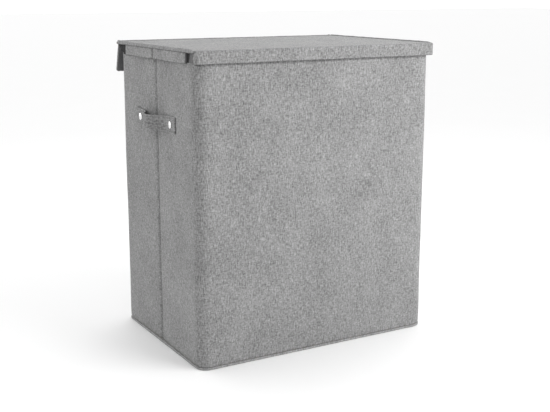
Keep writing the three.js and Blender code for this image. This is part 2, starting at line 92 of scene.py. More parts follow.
# Sizes and colours that a user would change
class HamperShape(bpy.types.PropertyGroup):
    corner_radius: FloatProperty(name="Corner radius", description="Radius of the box's upright corners",
                                 default=0.032, unit="LENGTH")
    bottom_radius: FloatProperty(name="Bottom corner radius", default=0.032, unit="LENGTH",
                                 description="Radius of the bottom panel's corners")
    tight_radius: FloatProperty(name="Tight corner radius", default=0.024, unit="LENGTH",
                                description="Radius of the front left corner's cloth")
    crease_push: FloatProperty(name="Side lean", description="How far each side leans in to its crease",
                               default=0.003, unit="LENGTH")
    crease_depth: FloatProperty(name="Crease depth", default=0.0023, unit="LENGTH",
                                description="Depth of the groove in the cloth at the crease")
    crease_width: FloatProperty(name="Crease width", description="Width of the groove at the crease",
                                default=0.010, unit="LENGTH")
    lid_radius: FloatProperty(name="Lid corner radius", description="Radius of the lid's front corners",
                              default=0.012, unit="LENGTH")
    lid_edge: FloatProperty(name="Lid edge rounding", description="Rounding of the lid's top edges",
                            default=0.0024, unit="LENGTH")
    strap_bow: FloatProperty(name="Strap bow", description="How far the carrying strap stands off the side",
                             default=0.024, unit="LENGTH")
    strap_tab: FloatProperty(name="Strap tab", description="Length of each riveted end of the strap",
                             default=0.040, unit="LENGTH")
    rivet_spacing: FloatProperty(name="Rivet spacing", description="Distance between a strap's two rivets",
                                 default=0.153, unit="LENGTH")
    flap_splay: FloatProperty(name="Flap splay", default=math.radians(16), subtype="ANGLE",
                              description="Angle at which the rear flap stands off the back")
    bag_radius: FloatProperty(name="Bag corner radius", description="Radius of the bags' upright corners",
                              default=0.0135, unit="LENGTH")
    bag_sag: FloatProperty(name="Bag sag", description="How far the slack sides of a bag hang inwards",
                           default=0.007, unit="LENGTH")
    webbing_spacing: FloatProperty(name="Webbing spacing", default=0.110, unit="LENGTH",
                                   description="Distance between the legs of a bag's handle")
    stitch: FloatProperty(name="Stitch length", description="Length of one stitch",
                          default=0.0032, unit="LENGTH")
    thread: FloatProperty(name="Thread thickness", description="Thickness of the sewing thread",
                          default=0.00055, unit="LENGTH")


class HamperColours(bpy.types.PropertyGroup):
    linen_light: FloatVectorProperty(name="Linen, light yarn", description="Colour of the lighter yarns",
                                     default=(0.365, 0.365, 0.365), subtype="COLOR")
    linen_dark: FloatVectorProperty(name="Linen, dark yarn", description="Colour of the darker yarns",
                                    default=(0.112, 0.112, 0.112), subtype="COLOR")
    lining: FloatVectorProperty(name="Lining", description="Colour of the dark non-woven lining",
                                default=(0.118, 0.118, 0.120), subtype="COLOR")
    bag: FloatVectorProperty(name="Bag cloth", description="Colour of the bags' woven cloth",
                             default=(0.150, 0.150, 0.154), subtype="COLOR")
    webbing: FloatVectorProperty(name="Webbing", description="Colour of the webbing",
                                 default=(0.018, 0.018, 0.019), subtype="COLOR")
    strip: FloatVectorProperty(name="Hook-and-loop", description="Colour of the hook-and-loop tape",
                               default=(0.011, 0.011, 0.012), subtype="COLOR")
    nickel: FloatVectorProperty(name="Rivet", description="Colour of the plated rivets",
                                default=(0.90, 0.90, 0.90), subtype="COLOR")
    board: FloatVectorProperty(name="Board", description="Colour of the pressed fibreboard",
                               default=(0.21, 0.155, 0.105), subtype="COLOR")


class HamperStudio(bpy.types.PropertyGroup):
    floor: FloatVectorProperty(name="Floor", description="Colour of the pale floor",
                               default=(0.92, 0.92, 0.92), subtype="COLOR")
    room_light: FloatProperty(name="Room light", description="Strength of the even light of the room",
                              default=0.75)
    rear_light: FloatProperty(name="Rear light", description="Strength of the white wall behind the hamper",
                              default=1.29)
    key_light: FloatProperty(name="Key light", description="Power of the soft light at the front right",
                             default=26.8, unit="POWER")
    fill_light: FloatProperty(name="Fill light", description="Power of the soft light at the rear right",
                              default=5.0, unit="POWER")


# Modelling helpers
def deselect():
    if bpy.context.object and bpy.context.object.mode != "OBJECT":
        leave_edit_mode()
    bpy.ops.object.select_all(action="DESELECT")


def named(name):
    piece = bpy.context.object
    piece.name = piece.data.name = name
    return piece


def start_block(name, low, high):
    """A block between two corners, with its place in its mesh."""
    deselect()
    low, high = Vector(low), Vector(high)
    bpy.ops.mesh.primitive_cube_add(size=1)
    piece = named(name)
    piece.scale, piece.location = high - low, (low + high) / 2
    bpy.ops.object.transform_apply(location=True, rotation=True, scale=True)
    return piece


def pick(piece, kind, test):
    """Selects the faces, edges or vertices that pass a test, in edit mode."""
    bpy.context.view_layer.objects.active = piece
    bpy.ops.object.mode_set(mode="EDIT")
    bpy.ops.mesh.select_mode(type=kind)
    bpy.ops.mesh.select_all(action="DESELECT")
    shape = bmesh.from_edit_mesh(piece.data)
    for item in {"VERT": shape.verts, "EDGE": shape.edges, "FACE": shape.faces}[kind]:
        if test(item):
            item.select_set(True)
    shape.select_flush_mode()
    bmesh.update_edit_mesh(piece.data)


def pick_all(piece, kind):
    pick(piece, kind, lambda item: True)


def ends(edge):
    return edge.verts[0].co, edge.verts[1].co


def is_upright(edge):
    a, b = ends(edge)
    return abs(a.x - b.x) + abs(a.y - b.y) < SAME_PLACE


def runs_along(edge, axis):
    """True for an edge whose ends differ along an axis."""
    a, b = ends(edge)
    return abs(a[axis] - b[axis]) > SAME_PLACE


def leave_edit_mode():
    bpy.ops.object.mode_set(mode="OBJECT")


def round_edges(piece, offset, segments, chosen=lambda edge: True):
    """Rounds the chosen edges of a piece, and stays in edit mode."""
    pick(piece, "EDGE", chosen)
    bpy.ops.mesh.bevel(offset=offset, segments=segments, affect="EDGES")


def turn_over(piece):
    """Turns all faces of a piece over."""
    pick_all(piece, "FACE")
    bpy.ops.mesh.flip_normals()
    leave_edit_mode()


def slice_at(piece, axis, places):
    """Cuts a line through the piece at each place along an axis."""
    direction = Vector((0, 0, 0))
    direction[axis] = 1
    bpy.context.view_layer.objects.active = piece
    bpy.ops.object.mode_set(mode="EDIT")
    for place in places:
        bpy.ops.mesh.select_all(action="SELECT")
        bpy.ops.mesh.bisect(plane_co=direction * place, plane_no=direction)
    leave_edit_mode()


def spread(low, high, pitch):
    """Places at about a pitch apart between two ends, which are left out."""
    count = max(2, round((high - low) / pitch))
    return [low + (high - low) * step / count for step in range(1, count)]


def points_of(piece):
    flat = np.empty(len(piece.data.vertices) * 3)
    piece.data.vertices.foreach_get("co", flat)
    return flat.reshape(-1, 3)


def set_points(piece, points):
    piece.data.vertices.foreach_set("co", np.ascontiguousarray(points, float).ravel())
    piece.data.update()


def unevenness(points, size, seed):
    """Smooth noise from about -1 to 1 at each point, with bumps of about a size."""
    shift = Vector((seed * 7.3, seed * 3.1, seed * 5.7))
    return np.array([noise.noise(Vector(point) / size + shift) for point in points]) * 2


def bump_at(distance, width):
    """A soft bump: 1 where the distance is 0, and about a third at the width."""
    return np.exp(-((distance / width) ** 2))


def run_around(x, y, half_x, half_y, radius, centre_x, centre_y):
    """Distance along a rounded rectangle from the middle of its front, signed by side, with each point
    read on the stretch of outline that the centre of its face lies on."""
    straight_x, straight_y = half_x - radius, half_y - radius
    side = np.where(centre_x < 0, -1.0, 1.0)
    x, cx, cy = x * side, np.abs(centre_x), centre_y
    front_turn = np.arctan2(np.maximum(x - straight_x, 0), np.maximum(-straight_y - y, 1e-9))
    back_turn = np.arctan2(np.maximum(y - straight_y, 0), np.maximum(x - straight_x, 1e-9))
    quarter = radius * math.pi / 2
    start_side = straight_x + quarter
    start_back = start_side + 2 * straight_y + quarter
    in_corner = cx > straight_x
    return side * np.select(
        [in_corner & (cy < -straight_y), in_corner & (cy > straight_y), in_corner, cy < 0],
        [straight_x + radius * front_turn, start_side + 2 * straight_y + radius * back_turn,
         start_side + y + straight_y, x], start_back + straight_x - x)


def unwrap(piece, half_x, half_y, radius, centre=(0, 0)):
    """A UV map in metres: seen from above on level faces, and along the outline on upright ones."""
    mesh = piece.data
    layer = mesh.uv_layers.get("UVMap") or mesh.uv_layers.new(name="UVMap")
    points = points_of(piece) - np.array([centre[0], centre[1], 0])
    count = len(mesh.loops)
    corner = np.empty(count, int)
    mesh.loops.foreach_get("vertex_index", corner)
    sizes = np.empty(len(mesh.polygons), int)
    mesh.polygons.foreach_get("loop_total", sizes)
    middles = np.empty(len(mesh.polygons) * 3)
    mesh.polygons.foreach_get("center", middles)
    normals = np.empty(len(mesh.polygons) * 3)
    mesh.polygons.foreach_get("normal", normals)
    middles = np.repeat(middles.reshape(-1, 3) - np.array([centre[0], centre[1], 0]), sizes, axis=0)
    level = np.repeat(np.abs(normals.reshape(-1, 3)[:, 2]) > 0.7, sizes)
    x, y, z = points[corner].T
    around = run_around(x, y, half_x, half_y, radius, middles[:, 0], middles[:, 1])
    flat = np.stack([np.where(level, x, around), np.where(level, y, z)], axis=1)
    layer.data.foreach_set("uv", flat.ravel())


def lay_map(piece, flat):
    """A UV map that puts each point at its place on the flat cloth, in metres."""
    corner = np.empty(len(piece.data.loops), int)
    piece.data.loops.foreach_get("vertex_index", corner)
    piece.data.uv_layers["UVMap"].data.foreach_set("uv", flat[corner].ravel())


def cut_cloth(name, across, along, places):
    """A cloth cut flat with its lines at across and along, then laid so that its points stand at places.
    Its UV map keeps the flat cloth, in metres."""
    deselect()
    columns, rows = len(across), len(along)
    bpy.ops.mesh.primitive_grid_add(x_subdivisions=columns - 1, y_subdivisions=rows - 1, size=2)
    piece = named(name)
    grid = points_of(piece)
    column = np.rint((grid[:, 0] + 1) / 2 * (columns - 1)).astype(int)
    row = np.rint((grid[:, 1] + 1) / 2 * (rows - 1)).astype(int)
    set_points(piece, np.asarray(places)[row, column])
    lay_map(piece, np.stack([np.asarray(across)[column], np.asarray(along)[row]], axis=1))
    return piece


def apply_modifier(piece, kind, **settings):
    deselect()
    piece.select_set(True)
    bpy.context.view_layer.objects.active = piece
    modifier = piece.modifiers.new(kind.title(), kind)
    for key, value in settings.items():
        setattr(modifier, key, value)
    bpy.ops.object.modifier_apply(modifier=modifier.name)


def thicken(piece, thickness, offset=-1.0):
    apply_modifier(piece, "SOLIDIFY", thickness=thickness, offset=offset, use_even_offset=True, use_rim=True)


def weld(piece, distance=1e-5):
    pick_all(piece, "VERT")
    bpy.ops.mesh.remove_doubles(threshold=distance)
    leave_edit_mode()


def soften(piece, angle=50):
    """Smooth shading, but for edges sharper than an angle in degrees."""
    deselect()
    piece.select_set(True)
    bpy.context.view_layer.objects.active = piece
    bpy.ops.object.shade_smooth_by_angle(angle=math.radians(angle))


def finish_piece(piece, material, body, slot, *nodes):
    """Gives a piece its material, its body and the nodes that it stands for; slot is not used."""
    deselect()
    piece.data.materials.clear()
    piece.data.materials.append(material)
    if body:
        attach(piece, body)
    if nodes:
        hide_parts(*nodes)
    return piece


def paint(piece, values):
    """Stores painted shade and tone at each point, from -1 darker to 1 lighter, for the material to read."""
    layer = piece.data.attributes.get("painted_shade_and_tone") or piece.data.attributes.new("painted_shade_and_tone", "FLOAT", "POINT")
    layer.data.foreach_set("value", np.asarray(values, float))


# Outlines seen from above
def outline_of_box(half_x, half_y, radius, pitch, dip=None, fine=(), tight=None):
    """Points, outward normals and run of a closed rounded rectangle, anticlockwise from the middle of the
    back. dip(y) draws the two sides in, fine lists places along a side that need extra points, and tight
    is a smaller radius for the front left corner."""
    corner_steps = 10
    corner = [math.pi / 2 * step / corner_steps for step in range(corner_steps + 1)]
    tight = tight or radius
    straight_x, straight_y = half_x - radius, half_y - radius
    side_ys = sorted({*spread(-straight_y, straight_y, pitch), *fine})
    xs = spread(-straight_x, straight_x, pitch)
    points, normals = [], []

    def stretch(line, normal):
        points.extend(line)
        normals.extend([normal] * len(line))

    def turn(side_x, side_y, start, radius):
        for angle in corner:
            normal = (math.cos(start + angle), math.sin(start + angle))
            points.append((side_x * (half_x - radius) + radius * normal[0],
                           side_y * (half_y - radius) + radius * normal[1]))
            normals.append(normal)

    back = [x for x in xs if x < 0]
    stretch([(0, half_y), *[(x, half_y) for x in reversed(back)]], (0, 1))
    turn(-1, 1, math.pi / 2, radius)
    stretch([(-half_x, y) for y in reversed(side_ys)], (-1, 0))
    turn(-1, -1, math.pi, tight)
    stretch([(x, -half_y) for x in xs], (0, -1))
    turn(1, -1, -math.pi / 2, radius)
    stretch([(half_x, y) for y in side_ys], (1, 0))
    turn(1, 1, 0, radius)
    stretch([(x, half_y) for x in reversed(xs) if x > 1e-6] + [(0, half_y)], (0, 1))
    points, normals = np.array(points), np.array(normals)
    if dip:
        on_side = (np.abs(points[:, 1]) < straight_y) & (np.abs(points[:, 0]) > straight_x)
        drawn = np.array([dip(y) for y in points[:, 1]])
        points[on_side, 0] -= np.sign(points[on_side, 0]) * drawn[on_side]
    run = np.r_[0, np.cumsum(np.linalg.norm(np.diff(points, axis=0), axis=1))]
    return points, normals, run


def raise_wall(outline, profile):
    """Places for a cloth that follows an outline: profile lists (inset, height) for each row."""
    points, normals, _ = outline
    return np.stack([np.column_stack([points - normals * inset, np.full(len(points), height)])
                     for inset, height in profile])


def run_of(profile):
    """Distance along a profile at each of its points."""
    steps = [math.dist(a, b) for a, b in zip(profile, profile[1:])]
    return np.r_[0, np.cumsum(steps)]


def arc(centre, radius, start, end, steps):
    """Points of an arc in a profile, with its angles in degrees."""
    angles = [math.radians(start + (end - start) * step / steps) for step in range(steps + 1)]
    return [(centre[0] + radius * math.cos(a), centre[1] + radius * math.sin(a)) for a in angles]


def side_dip(shape, lip, groove=0.0):
    """How far a side is drawn in at a distance y from its crease: its lean, and a soft groove there."""
    shoulder, groove_width = shape.crease_width / 2, 0.52 * shape.crease_width

    def dip(y):
        lean = shape.crease_push * (1 - min(max(abs(y) - shoulder, 0) / (lip - shoulder), 1))
        return lean + groove * bump_at(y, groove_width)

    return dip


# Sewing
def sew(name, body, slot, rows, shape, material, sink=0.3):
    """Stitches along rows of (points, outward normals), all in one piece. sink is the share of the
    thread's thickness, beyond the half, that lies in the cloth."""
    deselect()
    bpy.ops.mesh.primitive_uv_sphere_add(segments=6, ring_count=4, radius=1)
    stitch = bpy.context.object
    bead = points_of(stitch)
    bead[:, [0, 2]] = bead[:, [2, 0]]
    half_bead = shape.stitch * 0.46
    bead *= np.array([half_bead, shape.thread / 2, shape.thread / 2])
    faces = [tuple(reversed(face.vertices)) for face in stitch.data.polygons]
    bpy.data.objects.remove(stitch, do_unlink=True)
    points, polygons = [], []
    for track, ups in rows:
        track, ups = np.asarray(track, float), np.asarray(ups, float)
        run = np.r_[0, np.cumsum(np.linalg.norm(np.diff(track, axis=0), axis=1))]
        count = int(run[-1] // shape.stitch)
        if count < 1:
            continue
        stations = (np.arange(count) + 0.5) * run[-1] / count

        def read(values, places):
            return np.stack([np.interp(places, run, values[:, k]) for k in range(3)], axis=1)

        at = read(track, stations)
        along = read(track, stations + shape.stitch / 2) - read(track, stations - shape.stitch / 2)
        along /= np.linalg.norm(along, axis=1)[:, None]
        up = read(ups, stations)
        up -= along * (up * along).sum(1)[:, None]
        up /= np.linalg.norm(up, axis=1)[:, None]
        side = np.cross(up, along)
        for p, f, s, n in zip(at, along, side, up):
            first = len(points) * len(bead)
            points.append(p + n * shape.thread * (0.5 - sink) + bead @ np.stack([f, s, n]))
            polygons.extend(tuple(first + corner for corner in face) for face in faces)
    mesh = bpy.data.meshes.new(name)
    mesh.from_pydata(np.concatenate(points).tolist(), [], polygons)
    piece = bpy.data.objects.new(name, mesh)
    bpy.context.collection.objects.link(piece)
    mesh.polygons.foreach_set("use_smooth", [True] * len(mesh.polygons))
    return finish_piece(piece, material, body, slot)


# Materials
class Recipe:
    """A material's nodes, added one after another."""

    def __init__(self, name):
        self.material = bpy.data.materials.get(name)
        self.is_new = self.material is None
        if self.is_new:
            self.material = bpy.data.materials.new(name)
            self.material.use_nodes = True
            self.tree = self.material.node_tree
            self.shader = self.tree.nodes["Principled BSDF"]

    def add(self, kind, inputs=(), output=0, **settings):
        node = self.tree.nodes.new("ShaderNode" + kind)
        for key, value in settings.items():
            setattr(node, key, value)
        for socket, value in dict(inputs).items():
            if isinstance(value, bpy.types.NodeSocket):
                self.tree.links.new(value, node.inputs[socket])
            else:
                node.inputs[socket].default_value = value
        return node.outputs[output]

    def sum(self, operation, *values):
        return self.add("Math", dict(enumerate(values)), operation=operation)

    def weighed(self, *parts):
        """Adds up (value, share) pairs, each value times its share."""
        total = self.sum("MULTIPLY", *parts[0])
        for value, share in parts[1:]:
            total = self.sum("ADD", total, self.sum("MULTIPLY", value, share))
        return total

    def painted_shade_and_tone(self):
        """What paint() has stored."""
        return self.add("Attribute", attribute_name="painted_shade_and_tone", output=2)

    def scaled(self, vector, x, y, z=1.0):
        return self.add("Mapping", {"Vector": vector, "Scale": (x, y, z)})

    def noise(self, vector, scale=1.0, detail=2.0, roughness=0.5):
        return self.add("TexNoise", {"Vector": vector, "Scale": scale, "Detail": detail,
                                     "Roughness": roughness})

    def ramp(self, factor, stops):
        node = self.tree.nodes.new("ShaderNodeValToRGB")
        band = node.color_ramp.elements
        band[0].position, band[1].position = stops[0][0], stops[-1][0]
        for place, _ in stops[1:-1]:
            band.new(place)
        for element, (_, colour) in zip(band, stops):
            element.color = (*colour, 1)
        self.tree.links.new(factor, node.inputs["Fac"])
        return node.outputs["Color"]

    def finish(self, colour, roughness, height, depth, strength=1.0, **constant):
        """Links the colour, roughness and bump, and sets sockets that are the same all over."""
        links = self.tree.links
        links.new(colour, self.shader.inputs["Base Color"])
        if isinstance(roughness, bpy.types.NodeSocket):
            links.new(roughness, self.shader.inputs["Roughness"])
        else:
            self.shader.inputs["Roughness"].default_value = roughness
        bump = self.add("Bump", {"Height": height, "Distance": depth, "Strength": strength})
        links.new(bump, self.shader.inputs["Normal"])
        for key, value in constant.items():
            self.shader.inputs[key.replace("_", " ").title().replace("Ior", "IOR")].default_value = value
        return self.material


def mix(a, b, share):
    return tuple(x + (y - x) * share for x, y in zip(a, b))


def shade(colour, factor):
    return tuple(channel * factor for channel in colour)


def linen(colours):
    """Heathered linen-look cloth: plain weave of slubby light and dark yarns."""
    recipe = Recipe("heathered_linen")
    if not recipe.is_new:
        return recipe.material
    yarn = 1.0 * MM
    slub = 11 * MM
    uv = recipe.add("UVMap", uv_map="UVMap")
    u, v = [recipe.add("SeparateXYZ", {0: uv}, output=k) for k in (0, 1)]
    across, along = [recipe.sum("DIVIDE", place, yarn) for place in (u, v)]
    warp_number, weft_number = [recipe.sum("FLOOR", place, 0.0) for place in (across, along)]
    over = recipe.sum("MODULO", recipe.sum("ADD", warp_number, recipe.sum("ADD", weft_number, 20000.0)), 2.0)

    def yarn_tone(number, length, offset, stretch):
        place = recipe.add("CombineXYZ", {0: recipe.sum("MULTIPLY", number, 0.83),
                                          1: recipe.sum("DIVIDE", length, slub * stretch), 2: offset})
        return recipe.noise(place, 1.0, 1.5, 0.55)

    warp = yarn_tone(warp_number, v, 3.7, 1.0)
    weft = yarn_tone(weft_number, u, 31.3, 0.7)
    threads = recipe.add("Mix", {"Factor": over, "A": weft, "B": warp})
    streaks = recipe.noise(recipe.scaled(uv, 1 / (2.1 * MM), 1 / (6.0 * MM)), 1.0, 2.0, 0.6)
    slubs = recipe.noise(recipe.scaled(uv, 1 / (1.9 * MM), 1 / (22 * MM)), 1.0, 1.0, 0.5)
    flecks = recipe.noise(recipe.scaled(uv, 1 / (7 * MM), 1 / (2.6 * MM)), 1.0, 1.0, 0.5)
    clouds = recipe.noise(recipe.scaled(uv, 1 / (60 * MM), 1 / (90 * MM)), 1.0, 2.0, 0.5)

    def part(source, share):
        return recipe.sum("MULTIPLY", recipe.sum("SUBTRACT", source, 0.5), share)

    tone = 0.5
    for source, share in ((threads, 0.66), (streaks, 0.84), (slubs, 0.46), (flecks, 0.42),
                          (clouds, 0.2)):
        tone = recipe.sum("ADD", part(source, share), tone)
    tone = recipe.sum("ADD", tone, recipe.sum("MULTIPLY", recipe.painted_shade_and_tone(), 0.3))
    dark, light = colours.linen_dark, colours.linen_light
    colour = recipe.ramp(tone, [(0.0, shade(dark, 0.75)), (0.25, dark), (0.5, mix(dark, light, 0.5)),
                                (0.75, light), (1.0, mix(light, (1, 1, 1), 0.2))])

    def round_yarn(place):
        return recipe.sum("ABSOLUTE", recipe.sum("SINE", recipe.sum("MULTIPLY", place, math.pi)), 0.0)

    weave = recipe.add("Mix", {"Factor": over, "A": round_yarn(along), "B": round_yarn(across)})
    height = recipe.weighed((weave, 0.6), (threads, 0.8))
    roughness = recipe.add("MapRange", {"Value": streaks, "To Min": 0.97, "To Max": 0.82})
    return recipe.finish(colour, roughness, height, 0.30 * MM, 0.8, sheen_weight=0.18, sheen_roughness=0.45,
                         specular_ior_level=0.25)


def nonwoven(colours):
    """Dark lining: pressed fibres with a grid of small dimples."""
    recipe = Recipe("dimpled_lining")
    if not recipe.is_new:
        return recipe.material
    dimple = 1.6 * MM
    uv = recipe.add("UVMap", uv_map="UVMap")
    fibres = recipe.noise(recipe.scaled(uv, 1 / (0.5 * MM), 1 / (1.6 * MM)), 1.0, 3.0, 0.65)
    clouds = recipe.noise(recipe.scaled(uv, 1 / (25 * MM), 1 / (25 * MM)), 1.0, 2.0)
    cells = recipe.add("TexVoronoi", {"Vector": recipe.scaled(uv, 1 / dimple, 1 / dimple), "Scale": 1.0,
                                      "Randomness": 0.12}, feature="F1")
    pits = recipe.add("MapRange", {"Value": cells, "From Min": 0.12, "From Max": 0.30})
    tone = recipe.weighed((fibres, 0.55), (clouds, 0.25), (pits, 0.16), (recipe.painted_shade_and_tone(), 0.3))
    base = colours.lining
    # The ramp's lowest stop, near black, is reached only by the painted shadows
    colour = recipe.ramp(tone, [(0.0, shade(base, 0.12)), (0.2, shade(base, 0.6)), (0.5, base),
                                (0.8, shade(base, 1.7))])
    height = recipe.weighed((pits, 0.8), (fibres, 0.6))
    roughness = recipe.add("MapRange", {"Value": pits, "To Min": 0.7, "To Max": 0.92})
    return recipe.finish(colour, roughness, height, 0.22 * MM, 0.8, sheen_weight=0.05,
                         specular_ior_level=0.15)


def bag_cloth(colours):
    """Bags: tight plain-woven polyester with a faint shine."""
    recipe = Recipe("bag_weave")
    if not recipe.is_new:
        return recipe.material
    yarn = 0.7 * MM
    uv = recipe.add("UVMap", uv_map="UVMap")
    grid = recipe.add("TexChecker", {"Vector": recipe.scaled(uv, 1 / yarn, 1 / yarn), "Scale": 1.0}, output=1)
    warp = recipe.noise(recipe.scaled(uv, 1 / yarn, 1 / (30 * MM)), 1.0, 1.0)
    weft = recipe.noise(recipe.scaled(uv, 1 / (30 * MM), 1 / yarn), 1.0, 1.0)
    clouds = recipe.noise(recipe.scaled(uv, 1 / (45 * MM), 1 / (45 * MM)), 1.0, 2.0)
    threads = recipe.add("Mix", {"Factor": grid, "A": warp, "B": weft})
    tone = recipe.weighed((threads, 0.7), (clouds, 0.3), (recipe.painted_shade_and_tone(), 0.25))
    base = colours.bag
    colour = recipe.ramp(tone, [(0.25, shade(base, 0.72)), (0.5, base), (0.75, shade(base, 1.35))])
    height = recipe.sum("ADD", recipe.sum("MULTIPLY", grid, 0.4), threads)
    roughness = recipe.add("MapRange", {"Value": threads, "To Min": 0.62, "To Max": 0.8})
    return recipe.finish(colour, roughness, height, 0.14 * MM, 0.7, sheen_weight=0.1, specular_ior_level=0.4)


def ribbed_webbing(colours):
    """Black webbing: herringbone ribs along its length and a firm woven edge."""
    recipe = Recipe("ribbed_webbing")
    if not recipe.is_new:
        return recipe.material
    rib = 2.1 * MM
    uv = recipe.add("UVMap", uv_map="UVMap")
    u, v = [recipe.add("SeparateXYZ", {0: uv}, output=k) for k in (0, 1)]
    zigzag = recipe.sum("PINGPONG", u, rib)
    slant = recipe.sum("ADD", recipe.sum("DIVIDE", v, 1.1 * MM), recipe.sum("DIVIDE", zigzag, 0.9 * MM))
    ribs = recipe.sum("ABSOLUTE", recipe.sum("SINE", recipe.sum("MULTIPLY", slant, math.pi)), 0.0)
    lint = recipe.noise(recipe.scaled(uv, 1 / (0.4 * MM), 1 / (1.5 * MM)), 1.0, 2.0)
    tone = recipe.weighed((ribs, 0.5), (lint, 0.5))
    base = colours.webbing
    colour = recipe.ramp(tone, [(0.15, shade(base, 0.45)), (0.5, base), (0.85, shade(base, 2.3))])
    roughness = recipe.add("MapRange", {"Value": lint, "To Min": 0.5, "To Max": 0.75})
    return recipe.finish(colour, roughness, ribs, 0.35 * MM, 0.9, sheen_weight=0.15, specular_ior_level=0.4)


def hook_and_loop(colours):
    """Black hook-and-loop tape: a dense pile of tiny hooks between flat woven edges."""
    recipe = Recipe("hook_and_loop_pile")
    if not recipe.is_new:
        return recipe.material
    place = recipe.add("TexCoord", output=3)
    pile = recipe.add("TexVoronoi", {"Vector": place, "Scale": 1 / (0.9 * MM)}, feature="F1")
    lint = recipe.noise(place, 1 / (0.5 * MM), 3.0, 0.7)
    tone = recipe.weighed((pile, 0.6), (lint, 0.5))
    base = colours.strip
    colour = recipe.ramp(tone, [(0.2, shade(base, 0.4)), (0.55, base), (0.9, shade(base, 3.0))])
    roughness = recipe.add("MapRange", {"Value": lint, "To Min": 0.7, "To Max": 0.95})
    return recipe.finish(colour, roughness, tone, 0.5 * MM, 0.9, sheen_weight=0.2)


def sewing_thread(name, colour):
    """Twisted thread, with the twist as fine slanting ridges."""
    recipe = Recipe(name)
    if not recipe.is_new:
        return recipe.material
    place = recipe.add("TexCoord", output=3)
    twist = recipe.noise(place, 1 / (0.35 * MM), 1.0)
    length = recipe.noise(place, 1 / (14 * MM), 1.0)
    tone = recipe.weighed((twist, 0.6), (length, 0.4))
    finish = recipe.ramp(tone, [(0.3, shade(colour, 0.7)), (0.5, colour), (0.7, shade(colour, 1.25))])
    roughness = recipe.add("MapRange", {"Value": twist, "To Min": 0.5, "To Max": 0.75})
    return recipe.finish(finish, roughness, twist, 0.1 * MM, 0.6, sheen_weight=0.15)


def plated_metal(colours):
    """Polished nickel plate with hairline scratches and a few duller patches."""
    recipe = Recipe("nickel_plate")
    if not recipe.is_new:
        return recipe.material
    place = recipe.add("TexCoord", output=3)
    patches = recipe.noise(place, 1 / (6 * MM), 3.0, 0.6)
    scratches = recipe.noise(recipe.scaled(place, 1 / (2.5 * MM), 1 / (0.15 * MM), 1 / (0.6 * MM)), 1.0, 2.0)
    base = colours.nickel
    colour = recipe.ramp(patches, [(0.3, shade(base, 0.86)), (0.6, base)])
    roughness = recipe.add("MapRange", {"Value": patches, "To Min": 0.14, "To Max": 0.34})
    return recipe.finish(colour, roughness, scratches, 0.01 * MM, 0.3, metallic=1.0)


def fibreboard(colours):
    """Pressed brown board with coarse fibres."""
    recipe = Recipe("pressed_board")
    if not recipe.is_new:
        return recipe.material
    place = recipe.add("TexCoord", output=3)
    fibres = recipe.noise(recipe.scaled(place, 1 / (2 * MM), 1 / (2 * MM), 1 / (5 * MM)), 1.0, 5.0, 0.7)
    stains = recipe.noise(place, 1 / (60 * MM), 2.0)
    tone = recipe.weighed((fibres, 0.7), (stains, 0.3))
    base = colours.board
    colour = recipe.ramp(tone, [(0.3, shade(base, 0.6)), (0.5, base), (0.7, shade(base, 1.4))])
    roughness = recipe.add("MapRange", {"Value": fibres, "To Min": 0.75, "To Max": 0.95})
    return recipe.finish(colour, roughness, fibres, 0.3 * MM, 0.6)


def floor_paint(studio):
    """Matt pale studio floor."""
    recipe = Recipe("studio_floor")
    if not recipe.is_new:
        return recipe.material
    place = recipe.add("TexCoord", output=3)
    tone = recipe.noise(place, 3.0, 2.0)
    colour = recipe.ramp(tone, [(0.3, shade(studio.floor, 0.995)), (0.7, studio.floor)])
    return recipe.finish(colour, 0.9, tone, 0.05 * MM, 0.1)


# Studio
CAMERA_PLACE = (-1.0487, -1.8265, 0.7452)
CAMERA_YAW, CAMERA_PITCH = math.radians(29.963), math.radians(11.744)
FOCAL_PIXELS, IMAGE_WIDTH = 958.7, 550
SENSOR_MM = 36.0
CAMERA_SHIFT_Y = -0.03
FLOOR_SIZE, SOFTBOX = 60, 1.5
KEY_PLACE, FILL_PLACE = (0.95, -1.40, 1.08), (0.40, 1.366, 1.744)


def aim(item, place, target):
    item.location = place
    item.rotation_euler = (Vector(target) - Vector(place)).to_track_quat("-Z", "Y").to_euler()


def build_studio(studio):
    """A pale floor, the camera, two soft lights and the room."""
    deselect()
    bpy.ops.mesh.primitive_plane_add(size=FLOOR_SIZE)
    floor = named("studio_floor")
    floor.data.materials.append(floor_paint(studio))

    camera = bpy.data.objects.new("camera", bpy.data.cameras.new("camera"))
    bpy.context.collection.objects.link(camera)
    camera.location = CAMERA_PLACE
    camera.rotation_euler = (math.pi / 2 - CAMERA_PITCH, 0, -CAMERA_YAW)
    camera.data.sensor_width = SENSOR_MM
    camera.data.lens = FOCAL_PIXELS / IMAGE_WIDTH * SENSOR_MM
    camera.data.shift_y = CAMERA_SHIFT_Y
    camera.data.clip_end = 100
    bpy.context.scene.camera = camera

    middle = (CAD_LOW + CAD_HIGH) / 2
    for name, power, place in (("key_light", studio.key_light, KEY_PLACE),
                               ("fill_light", studio.fill_light, FILL_PLACE)):
        data = bpy.data.lights.new(name, "AREA")
        data.energy, data.size = power, SOFTBOX
        light = bpy.data.objects.new(name, data)
        bpy.context.collection.objects.link(light)
        aim(light, place, middle)

    build_world(studio)
    bpy.context.scene.view_settings.view_transform = "Standard"


